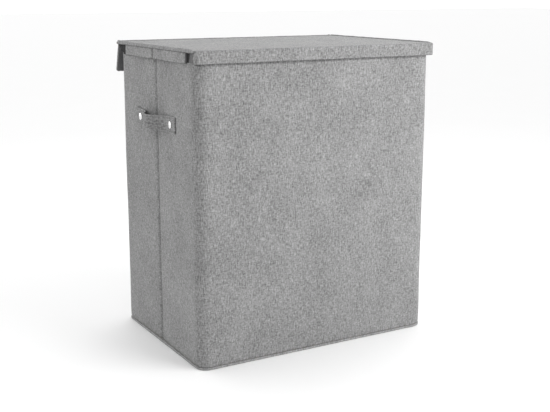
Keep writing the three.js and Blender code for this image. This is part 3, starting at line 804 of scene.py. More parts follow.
def build_world(studio):
    """An even white room, with a brighter wall behind the hamper."""
    world = bpy.data.worlds.new("studio")
    bpy.context.scene.world = world
    world.use_nodes = True
    nodes, links = world.node_tree.nodes, world.node_tree.links
    background = nodes["Background"]
    background.inputs["Color"].default_value = (1, 1, 1, 1)
    direction = nodes.new("ShaderNodeSeparateXYZ")
    links.new(nodes.new("ShaderNodeTexCoord").outputs["Generated"], direction.inputs[0])
    strength = direction.outputs["Y"]
    for operation, value in (("MULTIPLY", studio.rear_light), ("MAXIMUM", 0.0), ("ADD", studio.room_light)):
        step = nodes.new("ShaderNodeMath")
        step.operation = operation
        step.inputs[1].default_value = value
        links.new(strength, step.inputs[0])
        strength = step.outputs[0]
    links.new(strength, background.inputs["Strength"])


# Box
def build_cover(shape, colours):
    """The box's linen cover: one cloth round all four walls, sewn up at the middle of the back."""
    low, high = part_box("outer_cover")
    lean_end = high.y - shape.corner_radius
    crease = [shape.crease_width * step / 9 for step in range(-9, 10)]
    outline = outline_of_box(high.x, high.y, shape.corner_radius, 8 * MM,
                             side_dip(shape, lean_end, shape.crease_depth), crease, shape.tight_radius)
    foot, tuck, row_pitch = 4 * MM, 1.5 * MM, 9 * MM
    under_rim = (12, 10.5, 9, 7.5, 6, 4.5, 3, 0)
    heights = [low.z, *[low.z + foot * share for share in (0.25, 0.5, 0.75, 1.0)],
               *spread(low.z + foot, high.z - under_rim[0] * MM, row_pitch),
               *(high.z - step * MM for step in under_rim)]
    profile = [(tuck * max(0.0, 1 - (z - low.z) / foot) ** 2, z) for z in heights]
    places = raise_wall(outline, profile)
    rows, columns, _ = places.shape
    normals = np.column_stack([outline[1], np.zeros(columns)])
    flat = places.reshape(-1, 3)
    wave = (0.5 + unevenness(flat, 0.16, 1) * 0.45 + unevenness(flat, 0.045, 2) * 0.2) * MM
    held = np.clip((flat[:, 2] - low.z) / (20 * MM), 0, 1)
    held *= np.clip((high.z - flat[:, 2]) / (30 * MM), 0.2, 1)
    near_crease = bump_at(flat[:, 1], 14 * MM) * (np.abs(flat[:, 0]) > high.x * 0.9)
    wave = np.maximum(wave * held * (1 - 0.6 * near_crease), 0).reshape(rows, columns) - 0.1 * MM
    wave[:, -1] = wave[:, 0]
    places = places + normals[None] * wave[..., None]
    cover = cut_cloth("box_cover", outline[2], [z for _, z in profile], places)
    weld(cover)
    thicken(cover, LINEN_THICKNESS)
    soften(cover, 60)
    points = points_of(cover)
    on_side = np.abs(points[:, 0]) > high.x - 8 * MM
    # Painted shade in the crease and painted shadow under the lid's lip; darker along the foot
    shade_and_tone_paint = -0.45 * bump_at(points[:, 1], 4.2 * MM) * on_side
    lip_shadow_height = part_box("lip_board")[0].z - 3 * MM
    in_front = points[:, 1] < 10 * MM - high.y
    shade_and_tone_paint -= 0.75 * bump_at(points[:, 2] - lip_shadow_height, 1.8 * MM) * in_front
    shade_and_tone_paint -= 0.5 * np.clip(1 - (points[:, 2] - low.z) / (3 * MM), 0, 1)
    paint(cover, shade_and_tone_paint)
    finish_piece(cover, linen(colours), "hamper", "linen", "outer_cover")

    foot_row, seam_height = 4, low.z + 6 * MM
    ring = np.column_stack([outline[0] + outline[1] * wave[foot_row][:, None],
                            np.full(columns, seam_height)])
    sew("foot_seam", "hamper", "linen", [(ring, normals)], shape, grey_thread(colours))


def grey_thread(colours):
    return sewing_thread("grey_thread", mix(colours.linen_dark, colours.linen_light, 0.42))


def black_thread(colours):
    return sewing_thread("black_thread", shade(colours.webbing, 1.6))


def build_bottom(shape, colours):
    """The bottom panel: a thin padded sole with a rolled edge, sewn to the walls."""
    low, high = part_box("bottom_panel")
    sole = start_block("bottom_sole", low, high)
    round_edges(sole, shape.tight_radius, 10,
                lambda edge: is_upright(edge) and sum(ends(edge)[0].xy) < low.x)
    round_edges(sole, shape.bottom_radius, 10,
                lambda edge: is_upright(edge) and abs(ends(edge)[0].x) > high.x - 1e-5
                and abs(ends(edge)[0].y) > high.y - 1e-5)
    round_edges(sole, 2.2 * MM, 4, lambda edge: not is_upright(edge) and len(
        {abs(face.normal.z) > 0.5 for face in edge.link_faces}) == 2)
    leave_edit_mode()
    slice_at(sole, 0, spread(low.x, high.x, 22 * MM))
    slice_at(sole, 1, spread(low.y, high.y, 22 * MM))
    points = points_of(sole)
    edge_share = np.maximum(np.abs(points[:, 0]) / high.x, np.abs(points[:, 1]) / high.y)
    bulge = unevenness(points, 0.03, 3) * 0.3 * MM
    outwards = points[:, :2] / np.maximum(np.linalg.norm(points[:, :2], axis=1), 1e-9)[:, None]
    points[:, :2] += outwards * (bulge * (edge_share > 0.9))[:, None]
    set_points(sole, points)
    unwrap(sole, high.x, high.y, shape.bottom_radius)
    soften(sole, 45)
    paint(sole, 0.22 * (points[:, 2] < high.z - 0.5 * MM) * (edge_share > 0.9))
    finish_piece(sole, linen(colours), "hamper", "linen", "bottom_panel")


def build_rim_binding(shape, colours):
    """The binding: a folded linen tape over the rim, with its raw edges turned under and sewn."""
    low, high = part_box("rim_binding")
    lining_in = high.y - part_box("inner_lining")[1].y + 0.8 * MM
    outline, plain = [outline_of_box(high.x, high.y, shape.corner_radius, 8 * MM,
                                     side_dip(shape, high.y - shape.corner_radius, 0.6 * MM),
                                     [step * 2 * MM for step in range(-4, 5)], tight)
                      for tight in (shape.tight_radius, None)]
    half = lining_in / 2
    top = high.z - half
    profile = [(1.1 * MM, low.z + 2.4 * MM), (0.7 * MM, low.z + 0.2 * MM), (0.0, low.z + 0.6 * MM),
               (-0.1 * MM, low.z + 2.2 * MM), (0.0, low.z + 4 * MM), (0.0, top)]
    profile += [(half - x, z) for x, z in arc((0, top), half, 0, 180, 10)][1:]
    profile += [(lining_in, low.z + 4 * MM), (lining_in + 0.1 * MM, low.z + 2.2 * MM),
                (lining_in, low.z + 0.6 * MM), (lining_in - 0.7 * MM, low.z + 0.2 * MM),
                (lining_in - 1.1 * MM, low.z + 2.4 * MM)]
    inwards = np.clip([inset / lining_in for inset, _ in profile], 0, 1)[:, None, None]
    places = raise_wall(outline, profile) * (1 - inwards) + raise_wall(plain, profile) * inwards
    binding = cut_cloth("rim_tape", outline[2], run_of(profile), places)
    weld(binding)
    thicken(binding, BINDING_THICKNESS)
    soften(binding, 60)
    finish_piece(binding, linen(colours), "hamper", "linen", "rim_binding")
    points, normals, _ = outline
    up = np.column_stack([normals, np.zeros(len(points))])
    height = np.full(len(points), low.z + 3.4 * MM)
    outside = np.column_stack([points, height])
    inside = np.column_stack([plain[0] - plain[1] * lining_in, height])
    sew("rim_stitching", "hamper", "linen", [(outside, up), (inside, -up)], shape, grey_thread(colours))


def build_lining(shape, colours):
    """The dark lining of the walls, and the covered board that lies loose on the bottom."""
    low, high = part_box("inner_lining")
    radius = shape.corner_radius - (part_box("outer_cover")[1].y - high.y)
    outline = outline_of_box(high.x, high.y, radius, 9 * MM,
                             side_dip(shape, high.y - radius), [0.0])
    heights = [low.z, *spread(low.z, high.z, 16 * MM), high.z]
    places = raise_wall(outline, [(0.1 * MM, z) for z in heights])
    rows, columns, _ = places.shape
    wave = (unevenness(places.reshape(-1, 3), 0.07, 4) * 0.25 * MM).reshape(rows, columns)
    wave[:, -1] = wave[:, 0]
    places[..., :2] -= outline[1][None] * np.abs(wave)[..., None]
    lining = cut_cloth("wall_lining", outline[2], heights, places)
    weld(lining)
    thicken(lining, LINING_THICKNESS)
    soften(lining, 60)
    finish_piece(lining, nonwoven(colours), "hamper", "lining", "inner_lining")

    low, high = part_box("base_board")
    board = start_block("base_pad", low, high)
    round_edges(board, radius - 2 * MM, 10, is_upright)
    round_edges(board, 0.9 * MM, 3, lambda edge: not is_upright(edge))
    leave_edit_mode()
    slice_at(board, 0, spread(low.x, high.x, 25 * MM))
    slice_at(board, 1, [*spread(low.y, high.y, 20 * MM), 0.0])
    points = points_of(board)
    dip = side_dip(shape, high.y - radius + 4 * MM)
    drawn = np.array([dip(y) for y in points[:, 1]]) * np.clip(np.abs(points[:, 0]) / high.x, 0, 1) ** 6
    points[:, 0] -= np.sign(points[:, 0]) * drawn
    points[:, 2] -= np.abs(unevenness(points, 0.05, 5)) * 0.15 * MM * (points[:, 2] > (low.z + high.z) / 2)
    set_points(board, points)
    unwrap(board, high.x, high.y, radius)
    soften(board, 45)
    finish_piece(board, nonwoven(colours), "hamper", "lining", "base_board")


# Carrying straps
STRAP_THICKNESS, STRAP_GAP = 3.0 * MM, 0.3 * MM
STRAP_SEAM = 0.80


def strap_bow(shape, length, y):
    """How far a strap of a length bows out at y, between its flat tabs."""
    half = length / 2 - shape.strap_tab
    return shape.strap_bow * math.cos(min(abs(y) / half, 1) * math.pi / 2) ** 1.6


def strap_slant(shape, length, y):
    return (strap_bow(shape, length, y + 0.5 * MM) - strap_bow(shape, length, y - 0.5 * MM)) / MM


def strap_narrowing(shape, length, y):
    """The share of its width that a strap keeps at y, for it is gathered in at its middle."""
    half = length / 2 - 0.5 * shape.strap_tab
    return 1 - 0.13 * math.cos(min(abs(y) / half, 1) * math.pi / 2) ** 0.8


def build_straps(shape, colours):
    """The carrying straps: linen folded lengthwise, sewn along both edges and flat at each end."""
    cover_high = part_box("outer_cover")[1]
    face = side_dip(shape, cover_high.y - shape.corner_radius)
    for side_name, side in SIDES.items():
        node = f"{side_name}_handle"
        low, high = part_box(node)
        length, thickness = high.y - low.y, STRAP_THICKNESS
        middle = (low.z + high.z) / 2
        half_width = high.z - middle
        strap = start_block(f"{side_name}_strap", (0, low.y, low.z), (thickness, high.y, high.z))
        round_edges(strap, 1.2 * MM, 3, lambda edge: runs_along(edge, 0))
        round_edges(strap, 1.1 * MM, 3, lambda edge: not runs_along(edge, 0) and len(
            {round(item.normal.x) for item in edge.link_faces}) == 2)
        leave_edit_mode()
        slice_at(strap, 1, spread(low.y, high.y, 2.4 * MM))
        slice_at(strap, 2, spread(low.z + 1.3 * MM, high.z - 1.3 * MM, 1.5 * MM))
        points = points_of(strap)
        flat = points.copy()
        across = (points[:, 2] - middle) / half_width
        bow, slant, waist, lean = np.array(
            [(strap_bow(shape, length, y), strap_slant(shape, length, y),
              strap_narrowing(shape, length, y), face(y)) for y in points[:, 1]]).T
        outer = points[:, 0] / thickness
        free = np.minimum(bow / shape.strap_bow * 2.5, 1)
        seam = bump_at(np.abs(across) - STRAP_SEAM, 0.055)
        wander = 0.07 * np.sin(points[:, 1] * 60)
        fold = sum(depth * bump_at(across - place - wander, 0.085)
                   for place, depth in ((-0.42, 0.7), (-0.08, 1.0), (0.34, 0.8)))
        swell = (1 - across ** 2) * 0.5 * MM * free
        relief = (swell - seam * 0.42 * MM - fold * free * 0.5 * MM
                  + unevenness(points, 0.011, 6 + side) * 0.22 * MM * (0.35 + 0.65 * free))
        points[:, 2] = middle + (points[:, 2] - middle) * waist
        points[:, 0] = cover_high.x - lean + STRAP_GAP + flat[:, 0] + bow + relief * (outer * 2 - 1)
        steep = np.cos(np.arctan(slant))
        mid = cover_high.x - lean + STRAP_GAP + thickness / 2 + bow
        offset = points[:, 0] - mid
        tilt = np.sqrt(np.maximum(1 - steep ** 2, 0)) * np.sign(points[:, 1])
        points[:, 0] = mid + offset * steep
        points[:, 1] += offset * tilt
        points[:, 0] *= side
        set_points(strap, points)
        if side < 0:
            turn_over(strap)
        lay_map(strap, flat[:, [2, 1]])
        soften(strap, 60)
        # Painted shade along the seams and in the folds; lighter at the folded edges and a little darker all
        # over
        paint(strap, 0.35 * (np.abs(across) > 0.93) - 0.5 * seam - 0.45 * fold * free * outer - 0.12)
        finish_piece(strap, linen(colours), "hamper", "linen", node)

        rows = []
        for edge in (-STRAP_SEAM, STRAP_SEAM):
            track, ups = [], []
            for step in range(81):
                y = low.y + 3 * MM + (length - 6 * MM) * step / 80
                level = Vector((1, -strap_slant(shape, length, y), 0)).normalized()
                out = cover_high.x - face(y) + STRAP_GAP + thickness / 2 + strap_bow(shape, length, y)
                up = middle + edge * half_width * strap_narrowing(shape, length, y)
                place = Vector((out, y, up)) + level * (thickness / 2 - 0.35 * MM)
                track.append((side * place.x, place.y, place.z))
                ups.append((side * level.x, level.y, 0))
            rows.append((track, ups))
        for end in (-1, 1):
            for y in (end * (length / 2 - 3 * MM), end * (length / 2 - shape.strap_tab + 4 * MM)):
                out = side * (cover_high.x - face(y) + STRAP_GAP + thickness - 0.1 * MM)
                reach = 0.72 * half_width
                rows.append(([(out, y, middle - reach), (out, y, middle + reach)], [(side, 0, 0)] * 2))
        sew(f"{side_name}_strap_stitching", "hamper", "linen", rows, shape, grey_thread(colours))


def turned(name, profile, steps):
    """A round piece turned about the X axis from a profile of (along the axis, radius)."""
    deselect()
    bpy.ops.mesh.primitive_circle_add(vertices=len(profile), radius=1)
    piece = named(name)
    set_points(piece, [(x, 0, radius) for x, radius in profile])
    pick_all(piece, "VERT")
    bpy.ops.mesh.spin(steps=steps, angle=2 * math.pi, center=(0, 0, 0), axis=(1, 0, 0))
    bpy.ops.mesh.select_all(action="SELECT")
    bpy.ops.mesh.remove_doubles(threshold=1e-6)
    bpy.ops.mesh.normals_make_consistent(inside=False)
    leave_edit_mode()
    return piece


def build_rivets(shape, colours):
    """Plated rivets: a domed cap with a rolled rim and a flat crown, on a shank through the wall."""
    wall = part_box("outer_cover")[1]
    face = side_dip(shape, wall.y - shape.corner_radius)
    height = sum(corner.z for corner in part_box("left_handle")) / 2
    run = wall.y - shape.corner_radius - shape.crease_width / 2
    lean = math.atan(shape.crease_push / run)
    shank, foot, crown = 2.0 * MM, 3.6 * MM, 2.6 * MM
    inside = -(5.6 + 0.3 + 0.8) * MM
    cap, rolled = 7.5 * MM, 0.62 * MM
    profile = [(inside, 0), (inside, shank - 0.4 * MM), (inside + 0.4 * MM, shank), (foot, shank),
               (foot, cap - 1.2 * MM)]
    profile += [(foot + rolled + x, cap - rolled + y) for x, y in arc((0, 0), rolled, 180, 20, 8)]
    profile += [(foot + crown * share, radius * MM) for share, radius in
                ((0.50, 6.55), (0.62, 5.9), (0.76, 5.0), (0.88, 3.9), (0.955, 2.8), (0.99, 1.6), (1.0, 0.0))]
    for side_name, side in SIDES.items():
        for end_name, end in (("front", -1), ("rear", 1)):
            y = end * shape.rivet_spacing / 2
            rivet = turned(f"{side_name}_{end_name}_rivet_cap", profile, 48)
            turn = -end * lean if side > 0 else math.pi + end * lean
            rivet.data.transform(Matrix.Translation((side * (wall.x - face(y)), y, height))
                                 @ Matrix.Rotation(turn, 4, "Z"))
            soften(rivet, 40)
            finish_piece(rivet, plated_metal(colours), "hamper", "rivet", f"{side_name}_{end_name}_rivet")
            washer = frame["nodes"][f"{side_name}_{end_name}_washer"]
            washer.data.materials.clear()
            washer.data.materials.append(plated_metal(colours))


# Lid
def build_lid(shape, colours):
    """The lid: a board in linen with a lip down its front and a flange down each side."""
    low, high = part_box("lid_cover")
    lip_low, lip_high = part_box("lip_board")
    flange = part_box("left_flange_board")
    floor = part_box("lid_board")[0].z - 0.3 * MM
    lip_end, flange_front, flange_rear = lip_high.y + MM, flange[0].y - 0.3 * MM, flange[1].y - 8.5 * MM
    lip_foot, flange_foot = lip_low.z - MM, flange[0].z - MM
    wall = 3.0 * MM
    lid = start_block("lid_linen", (low.x, low.y, floor), high)
    round_edges(lid, shape.lid_radius, 10, lambda edge: is_upright(edge) and ends(edge)[0].y < 0)
    round_edges(lid, 9 * MM, 6, lambda edge: is_upright(edge) and ends(edge)[0].y > 0)
    pick(lid, "FACE", lambda item: item.normal.z < -0.5)
    bpy.ops.mesh.inset(thickness=wall)
    leave_edit_mode()
    slice_at(lid, 1, [lip_end, flange_front, flange_rear])

    def on_rim(item, first, last):
        middle = item.calc_center_median()
        outside = abs(middle.x) > high.x - wall or middle.y < low.y + wall or (
            middle.y < low.y + shape.lid_radius and abs(middle.x) > high.x - shape.lid_radius
            and math.hypot(abs(middle.x) - high.x + shape.lid_radius, middle.y - low.y - shape.lid_radius)
            > shape.lid_radius - wall)
        return item.normal.z < -0.5 and outside and first < middle.y < last

    for first, last, foot in ((low.y - 1, lip_end, lip_foot), (flange_front, flange_rear, flange_foot)):
        pick(lid, "FACE", lambda item: on_rim(item, first, last))
        bpy.ops.mesh.extrude_region_move(TRANSFORM_OT_translate={"value": (0, 0, foot - floor)})

    def is_end_corner(edge, line, foot, tolerance=1e-5):
        a, b = ends(edge)
        return all(abs(end.z - foot) < tolerance and abs(end.y - line) < tolerance for end in (a, b))

    round_edges(lid, 8 * MM, 6, lambda edge: is_end_corner(edge, lip_end, lip_foot))
    round_edges(lid, 3 * MM, 4, lambda edge: is_end_corner(edge, flange_front, flange_foot)
                or is_end_corner(edge, flange_rear, flange_foot))
    round_edges(lid, shape.lid_edge, 4, lambda edge: all(
        end.z > high.z - SAME_PLACE for end in ends(edge)) and len(
            {round(item.normal.z) for item in edge.link_faces}) == 2)

    def is_lower_edge(edge):
        a, b = ends(edge)
        sharp = len(edge.link_faces) == 2 and edge.calc_face_angle(0) > math.radians(50)
        return sharp and max(a.z, b.z) < high.z - shape.lid_edge - 1e-5 and edge.is_convex

    round_edges(lid, 1.4 * MM, 3, is_lower_edge)
    leave_edit_mode()
    near_edge = (0.8, 1.6, 2.4, 3.3, 4.2, 4.6, 5.0, 6.0, 7.5)
    slice_at(lid, 0, [*spread(low.x + 9 * MM, high.x - 9 * MM, 11 * MM),
                      *(low.x + gap * MM for gap in near_edge), *(high.x - gap * MM for gap in near_edge)])
    slice_at(lid, 1, [*spread(low.y, high.y, 11 * MM), *(step * 1.5 * MM for step in range(-4, 5))])
    seam = floor + 0.1 * MM
    slice_at(lid, 2, [seam - 1.5 * MM, seam - 0.7 * MM, seam, seam + 0.7 * MM, seam + 1.5 * MM,
                      flange_foot + 6 * MM, flange_foot + 11 * MM])
    points = points_of(lid)
    x, y, z = points.T.copy()
    outer = np.abs(x) > high.x - 2 * MM
    rough = unevenness(points, 0.018, 8)
    has_seam = outer * (y > lip_end - 9 * MM)
    hanging = outer * (z < floor)
    groove = bump_at(z - seam, 0.75 * MM) * (0.75 + 0.35 * rough) * MM * has_seam
    notch = bump_at(y, 3.4 * MM) * 0.9 * MM * hanging
    push = unevenness(points, 0.035, 9) * 0.3 * MM * hanging
    points[:, 0] -= np.sign(x) * (groove + notch - push)
    in_front = y < low.y + 2 * MM
    points[:, 1] += in_front * unevenness(points, 0.05, 10) * 0.35 * MM
    hem = np.clip((floor - z) / (floor - flange_foot), 0, 1)
    points[:, 2] += hem * unevenness(points, 0.06, 11) * 0.35 * MM
    on_top = z > high.z - 0.2 * MM
    gap = (high.x - np.abs(x)) / MM
    welt_rise, welt_end, welt_height = 2.4, 5.0, 2.2
    welt = np.clip(gap / welt_rise, 0, 1) ** 0.7 * np.clip((welt_end - gap) / 0.8, 0, 1)
    welt *= np.clip((y - low.y - 9 * MM) / (14 * MM), 0, 1) * (welt_height + 0.3 * rough) * MM
    points[:, 2] += welt * np.clip((z - high.z + shape.lid_edge) / shape.lid_edge, 0, 1)
    span_x, span_y = np.clip(1 - (x / high.x) ** 4, 0, 1), np.clip(1 - (y / high.y) ** 4, 0, 1)
    sag = -0.7 * MM * span_x * span_y + unevenness(points, 0.13, 12) * 0.35 * MM * span_x * span_y
    points[:, 2] += on_top * sag * np.clip((gap - welt_end) / 4, 0, 1)
    set_points(lid, points)
    unwrap(lid, high.x, -low.y, shape.lid_radius)
    soften(lid, 50)
    # Painted shade in the seam, at the lip's ends and in the notch, and painted shadow at the flanges' feet
    # and at the lip's foot
    shade_and_tone_paint = -1.3 * bump_at(z - seam, 0.8 * MM) * has_seam
    shade_and_tone_paint -= 0.7 * hanging * np.clip((lip_end - y) / MM, 0, 1) * (y > lip_end - 6 * MM)
    shade_and_tone_paint -= 0.8 * outer * (z < flange_foot + 1.0 * MM) * (y > flange_front)
    shade_and_tone_paint -= 1.2 * bump_at(y, 3.0 * MM) * hanging
    shade_and_tone_paint -= 0.8 * (y < low.y + 3 * MM) * (z < lip_foot + 1.2 * MM)
    # Lighter along the welt
    shade_and_tone_paint += 0.25 * on_top * bump_at(np.abs(x) - (high.x - 3.0 * MM), 2 * MM)
    paint(lid, shade_and_tone_paint)
    finish_piece(lid, linen(colours), "lid", "linen", "lid_cover")


def rounded_sheet(name, low, high, radius, edge, pitch, front_only=False):
    """A thin level sheet with round corners and soft edges, cut into a grid."""
    sheet = start_block(name, low, high)
    round_edges(sheet, radius, 8,
                lambda item: is_upright(item) and (not front_only or ends(item)[0].y < 0))
    round_edges(sheet, edge, 2, lambda item: not is_upright(item))
    leave_edit_mode()
    slice_at(sheet, 0, spread(low[0], high[0], pitch))
    slice_at(sheet, 1, spread(low[1], high[1], pitch))
    return sheet


def build_lid_linings(shape, colours):
    """Dark linings on the underside of the lid and inside its lip and flanges, with a sewn edge."""
    low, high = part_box("lid_lining")
    margin = 1.0 * MM
    sheet = rounded_sheet("lid_underside", (low.x + margin, low.y + margin, low.z),
                          (high.x - margin, high.y - margin, high.z), shape.lid_radius - 2 * MM, 0.3 * MM,
                          14 * MM, True)
    points = points_of(sheet)
    under = points[:, 2] < (low.z + high.z) / 2
    points[:, 2] += under * np.clip(unevenness(points, 0.05, 13), -1, 1) * 0.15 * MM
    set_points(sheet, points)
    unwrap(sheet, high.x, high.y, shape.lid_radius)
    soften(sheet, 45)
    finish_piece(sheet, nonwoven(colours), "lid", "lining", "lid_lining")

    rows = []
    inset = 6 * MM
    x0, x1, y0, y1 = low.x + inset, high.x - inset, low.y + inset, high.y - inset
    corners = [(x0, y1), (x0, y0), (x1, y0), (x1, y1), (x0, y1)]
    for a, b in zip(corners, corners[1:]):
        rows.append(([(*a, low.z - 0.05 * MM), (*b, low.z - 0.05 * MM)], [(0, 0, -1)] * 2))
    low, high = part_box("lip_lining")
    flange_low, flange_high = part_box("right_flange_lining")
    tail, play = 26 * MM, 0.05 * MM
    pocket = spread(high.y, flange_low.y, 1.5 * MM)
    points, normals, run = outline_of_box(flange_high.x - play, -low.y - play, shape.lid_radius - 3 * MM,
                                          6 * MM, fine=[*pocket, *(-y for y in pocket)])
    kept = points[:, 1] < flange_high.y + tail
    points, normals, run = points[kept], normals[kept], run[kept]
    y = points[:, 1]
    foot, head = low.z + 0.8 * MM, high.z
    heights = [foot, *spread(foot, head, 2 * MM), head]
    places = raise_wall((points, normals, run), [(0.0, z) for z in heights])
    drop = np.clip((head - places[..., 2]) / (head - foot), 0, 1)
    tongue = places[..., 1] - flange_high.y
    places[..., 1] -= np.maximum(tongue, 0) * 0.75 * (1 - np.sin(math.pi * drop))
    facing = cut_cloth("rim_facing", run, heights, places)
    thicken(facing, FACING_THICKNESS)
    soften(facing, 60)
    _, ys, zs = points_of(facing).T
    # Painted shadow: across the pocket behind each open corner and on the tail behind the flange, the facing
    # stands in for shade and is painted near black
    reach = (14 + 6 * np.clip((zs - foot) / (head - foot), 0, 1)) * MM
    in_pocket = (ys < flange_low.y) & (ys > high.y)
    shadow = np.clip((ys - flange_low.y + reach) / (3 * MM), 0, 1) * in_pocket
    shadow = np.maximum(shadow, np.clip((ys - flange_high.y) / (2 * MM), 0, 1))
    paint(facing, -0.1 * in_pocket * (1 - shadow) - 1.9 * shadow)
    finish_piece(facing, nonwoven(colours), "lid", "lining", "lip_lining", "left_flange_lining",
                 "right_flange_lining")
    sewn = (y < high.y - 2 * MM) | (np.abs(y) < flange_high.y - 3 * MM)
    for part in np.split(np.arange(len(y)), np.flatnonzero(np.diff(sewn.astype(int))) + 1):
        if sewn[part[0]] and len(part) > 1:
            rows.append((np.column_stack([points[part] - normals[part] * 0.55 * MM,
                                          np.full(len(part), foot + 3 * MM)]),
                         -np.column_stack([normals[part], np.zeros(len(part))])))
    for side_name, side in SIDES.items():
        for end_name, end in ENDS.items():
            x0, x1 = sorted(side * (flange_high.x + offset) for offset in (-0.85 * MM, 2.85 * MM))
            covered = 0.5 * MM if end < 0 else 9.0 * MM
            y0, y1 = sorted((end * (flange_high.y - covered), end * (flange_high.y + 4.0 * MM)))
            piece = start_block(f"{side_name}_{end_name}_flange_end", (x0, y0, flange_low.z - 0.2 * MM),
                                (x1, y1, flange_high.z + 0.1 * MM))
            round_edges(piece, 1.6 * MM, 4)
            leave_edit_mode()
            unwrap(piece, abs(x1) + MM, abs(y1) + MM, 1.6 * MM)
            soften(piece, 60)
            # Painted shadow: the rear flange ends are painted near black, the front ones only a little darker
            paint(piece, [-1.9 if end > 0 else -0.2] * len(piece.data.vertices))
            finish_piece(piece, nonwoven(colours), "lid", "lining")
    sew("lid_stitching", "lid", "lining", rows, shape, black_thread(colours))


def flap_place(shape):
    """Puts what is built hanging straight down from the origin at the flap's fold, at the flap's angle."""
    return Matrix.Translation(frame_axis("flap_press")) @ Matrix.Rotation(shape.flap_splay, 4, "X")


def flap_rows(corners, depth, facing, lean):
    """Rows of stitches from corner to corner of the flat flap, at a depth in it."""
    up = lean.to_3x3() @ Vector((0, facing, 0))
    return [([lean @ Vector((x0, depth, z0)), lean @ Vector((x1, depth, z1))], [up] * 2)
            for (x0, z0), (x1, z1) in zip(corners, corners[1:])]


def build_flap(shape, colours):
    """The rear flap: linen over a stiffener, with the linen turned in round a dark lining."""
    axis, lean = frame_axis("flap_press"), flap_place(shape)
    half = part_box("flap_cover")[1].x
    length, thickness = 70 * MM, 3.1 * MM
    start, lining_start = 1.2 * MM, 9 * MM
    flap = start_block("rear_flap_linen", (-half, -thickness, -length), (half, 0, -start))
    round_edges(flap, 5 * MM, 6, lambda edge: runs_along(edge, 1) and ends(edge)[0].z < -length / 2)
    round_edges(flap, 1.1 * MM, 3, lambda edge: not runs_along(edge, 1))
    leave_edit_mode()
    slice_at(flap, 0, spread(-half, half, 11 * MM))
    slice_at(flap, 2, [*spread(-length, -start, 9 * MM), -8.5 * MM, -10 * MM, -11 * MM])
    points = points_of(flap)
    flat = points.copy()
    slack = np.clip(-points[:, 2] / length, 0, 1)
    outer = points[:, 1] > -thickness / 2
    points[:, 1] += np.where(outer, 0.6, -0.35) * np.abs(unevenness(points, 0.09, 15)) * MM * slack
    # Thinner near the fold, so that it stays clear of the lid's underside
    thinned = points[:, 1] + np.clip((flat[:, 2] + 11 * MM) / (2.5 * MM), 0, 1) * 1.85 * MM
    points[:, 1] = np.where(outer, points[:, 1], np.minimum(thinned, -1.15 * MM))
    points[:, 2] += unevenness(points, 0.07, 16) * 0.3 * MM * (slack > 0.9)
    set_points(flap, points)
    lay_map(flap, flat[:, [0, 2]])
    flap.data.transform(lean)
    soften(flap, 50)
    edge_near = np.minimum(half - np.abs(flat[:, 0]), flat[:, 2] + length)
    paint(flap, 0.3 * (edge_near < 1.0 * MM))
    finish_piece(flap, linen(colours), "rear_flap", "linen", "flap_cover")

    hem = 2.2 * MM
    facing = start_block("rear_flap_facing", (-half + hem, -thickness - 0.65 * MM, -length + hem),
                         (half - hem, -thickness + 0.2 * MM, -lining_start))
    round_edges(facing, 0.25 * MM, 2)
    leave_edit_mode()
    slice_at(facing, 0, spread(-half + hem, half - hem, 13 * MM))
    slice_at(facing, 2, spread(-length + hem, -lining_start, 8 * MM))
    points = points_of(facing)
    flat = points.copy()
    points[:, 1] += unevenness(points, 0.04, 17) * 0.15 * MM
    set_points(facing, points)
    lay_map(facing, flat[:, [0, 2]])
    facing.data.transform(lean)
    soften(facing, 45)
    finish_piece(facing, nonwoven(colours), "rear_flap", "lining", "flap_lining")

    def seam_line(inset):
        """Corners of a line down one end of the flap, along its foot and up the other end."""
        x, top, foot = half - inset, -12 * MM, inset - length
        return [(-x, top), (-x, foot), (x, foot), (x, top)]

    rim = seam_line(8 * MM)
    rows = flap_rows([*rim, rim[0]], -thickness - 0.68 * MM, -1, lean)
    sew("flap_stitching", "rear_flap", "lining", rows, shape, black_thread(colours))
    rows = flap_rows(seam_line(3 * MM), 0.25 * MM, 1, lean)
    sew("flap_edge_stitching", "rear_flap", "linen", rows, shape, grey_thread(colours))

    roll_radius = 1.45 * MM
    outline = arc((0, 0), roll_radius, 0, 360, 16)
    ends_near = [half - step * MM for step in range(1, 8, 2)]
    stations = sorted([-half - 0.5 * MM, *(-x for x in ends_near), *ends_near, half + 0.5 * MM,
                       *spread(-half + 8 * MM, half - 8 * MM, 12 * MM)])
    places = np.array([[(x, axis.y + cy, axis.z + cz) for x in stations] for cy, cz in outline])
    bumps = unevenness(places.reshape(-1, 3), 0.02, 18).reshape(places.shape[:2]) * 0.15 * MM
    bumps[-1] = bumps[0]
    bumps += np.clip((np.abs(places[..., 0]) - half + 6 * MM) / (4 * MM), 0, 1) * 0.9 * MM
    spokes = np.array([[0, cy, cz] for cy, cz in outline]) / roll_radius
    places = places + spokes[:, None, :] * bumps[..., None]
    roll = cut_cloth("fold_roll", stations, run_of(outline), places)
    weld(roll)
    pick(roll, "EDGE", lambda edge: edge.is_boundary)
    bpy.ops.mesh.edge_face_add()
    bpy.ops.mesh.select_all(action="SELECT")
    bpy.ops.mesh.normals_make_consistent(inside=False)
    leave_edit_mode()
    soften(roll, 60)
    finish_piece(roll, linen(colours), "rear_flap", "linen")


def frame_axis(joint):
    for item in frame["joints"]:
        if item["name"] == joint:
            return Vector(item["pos_m"])
    raise RuntimeError(f"no joint named {joint}")


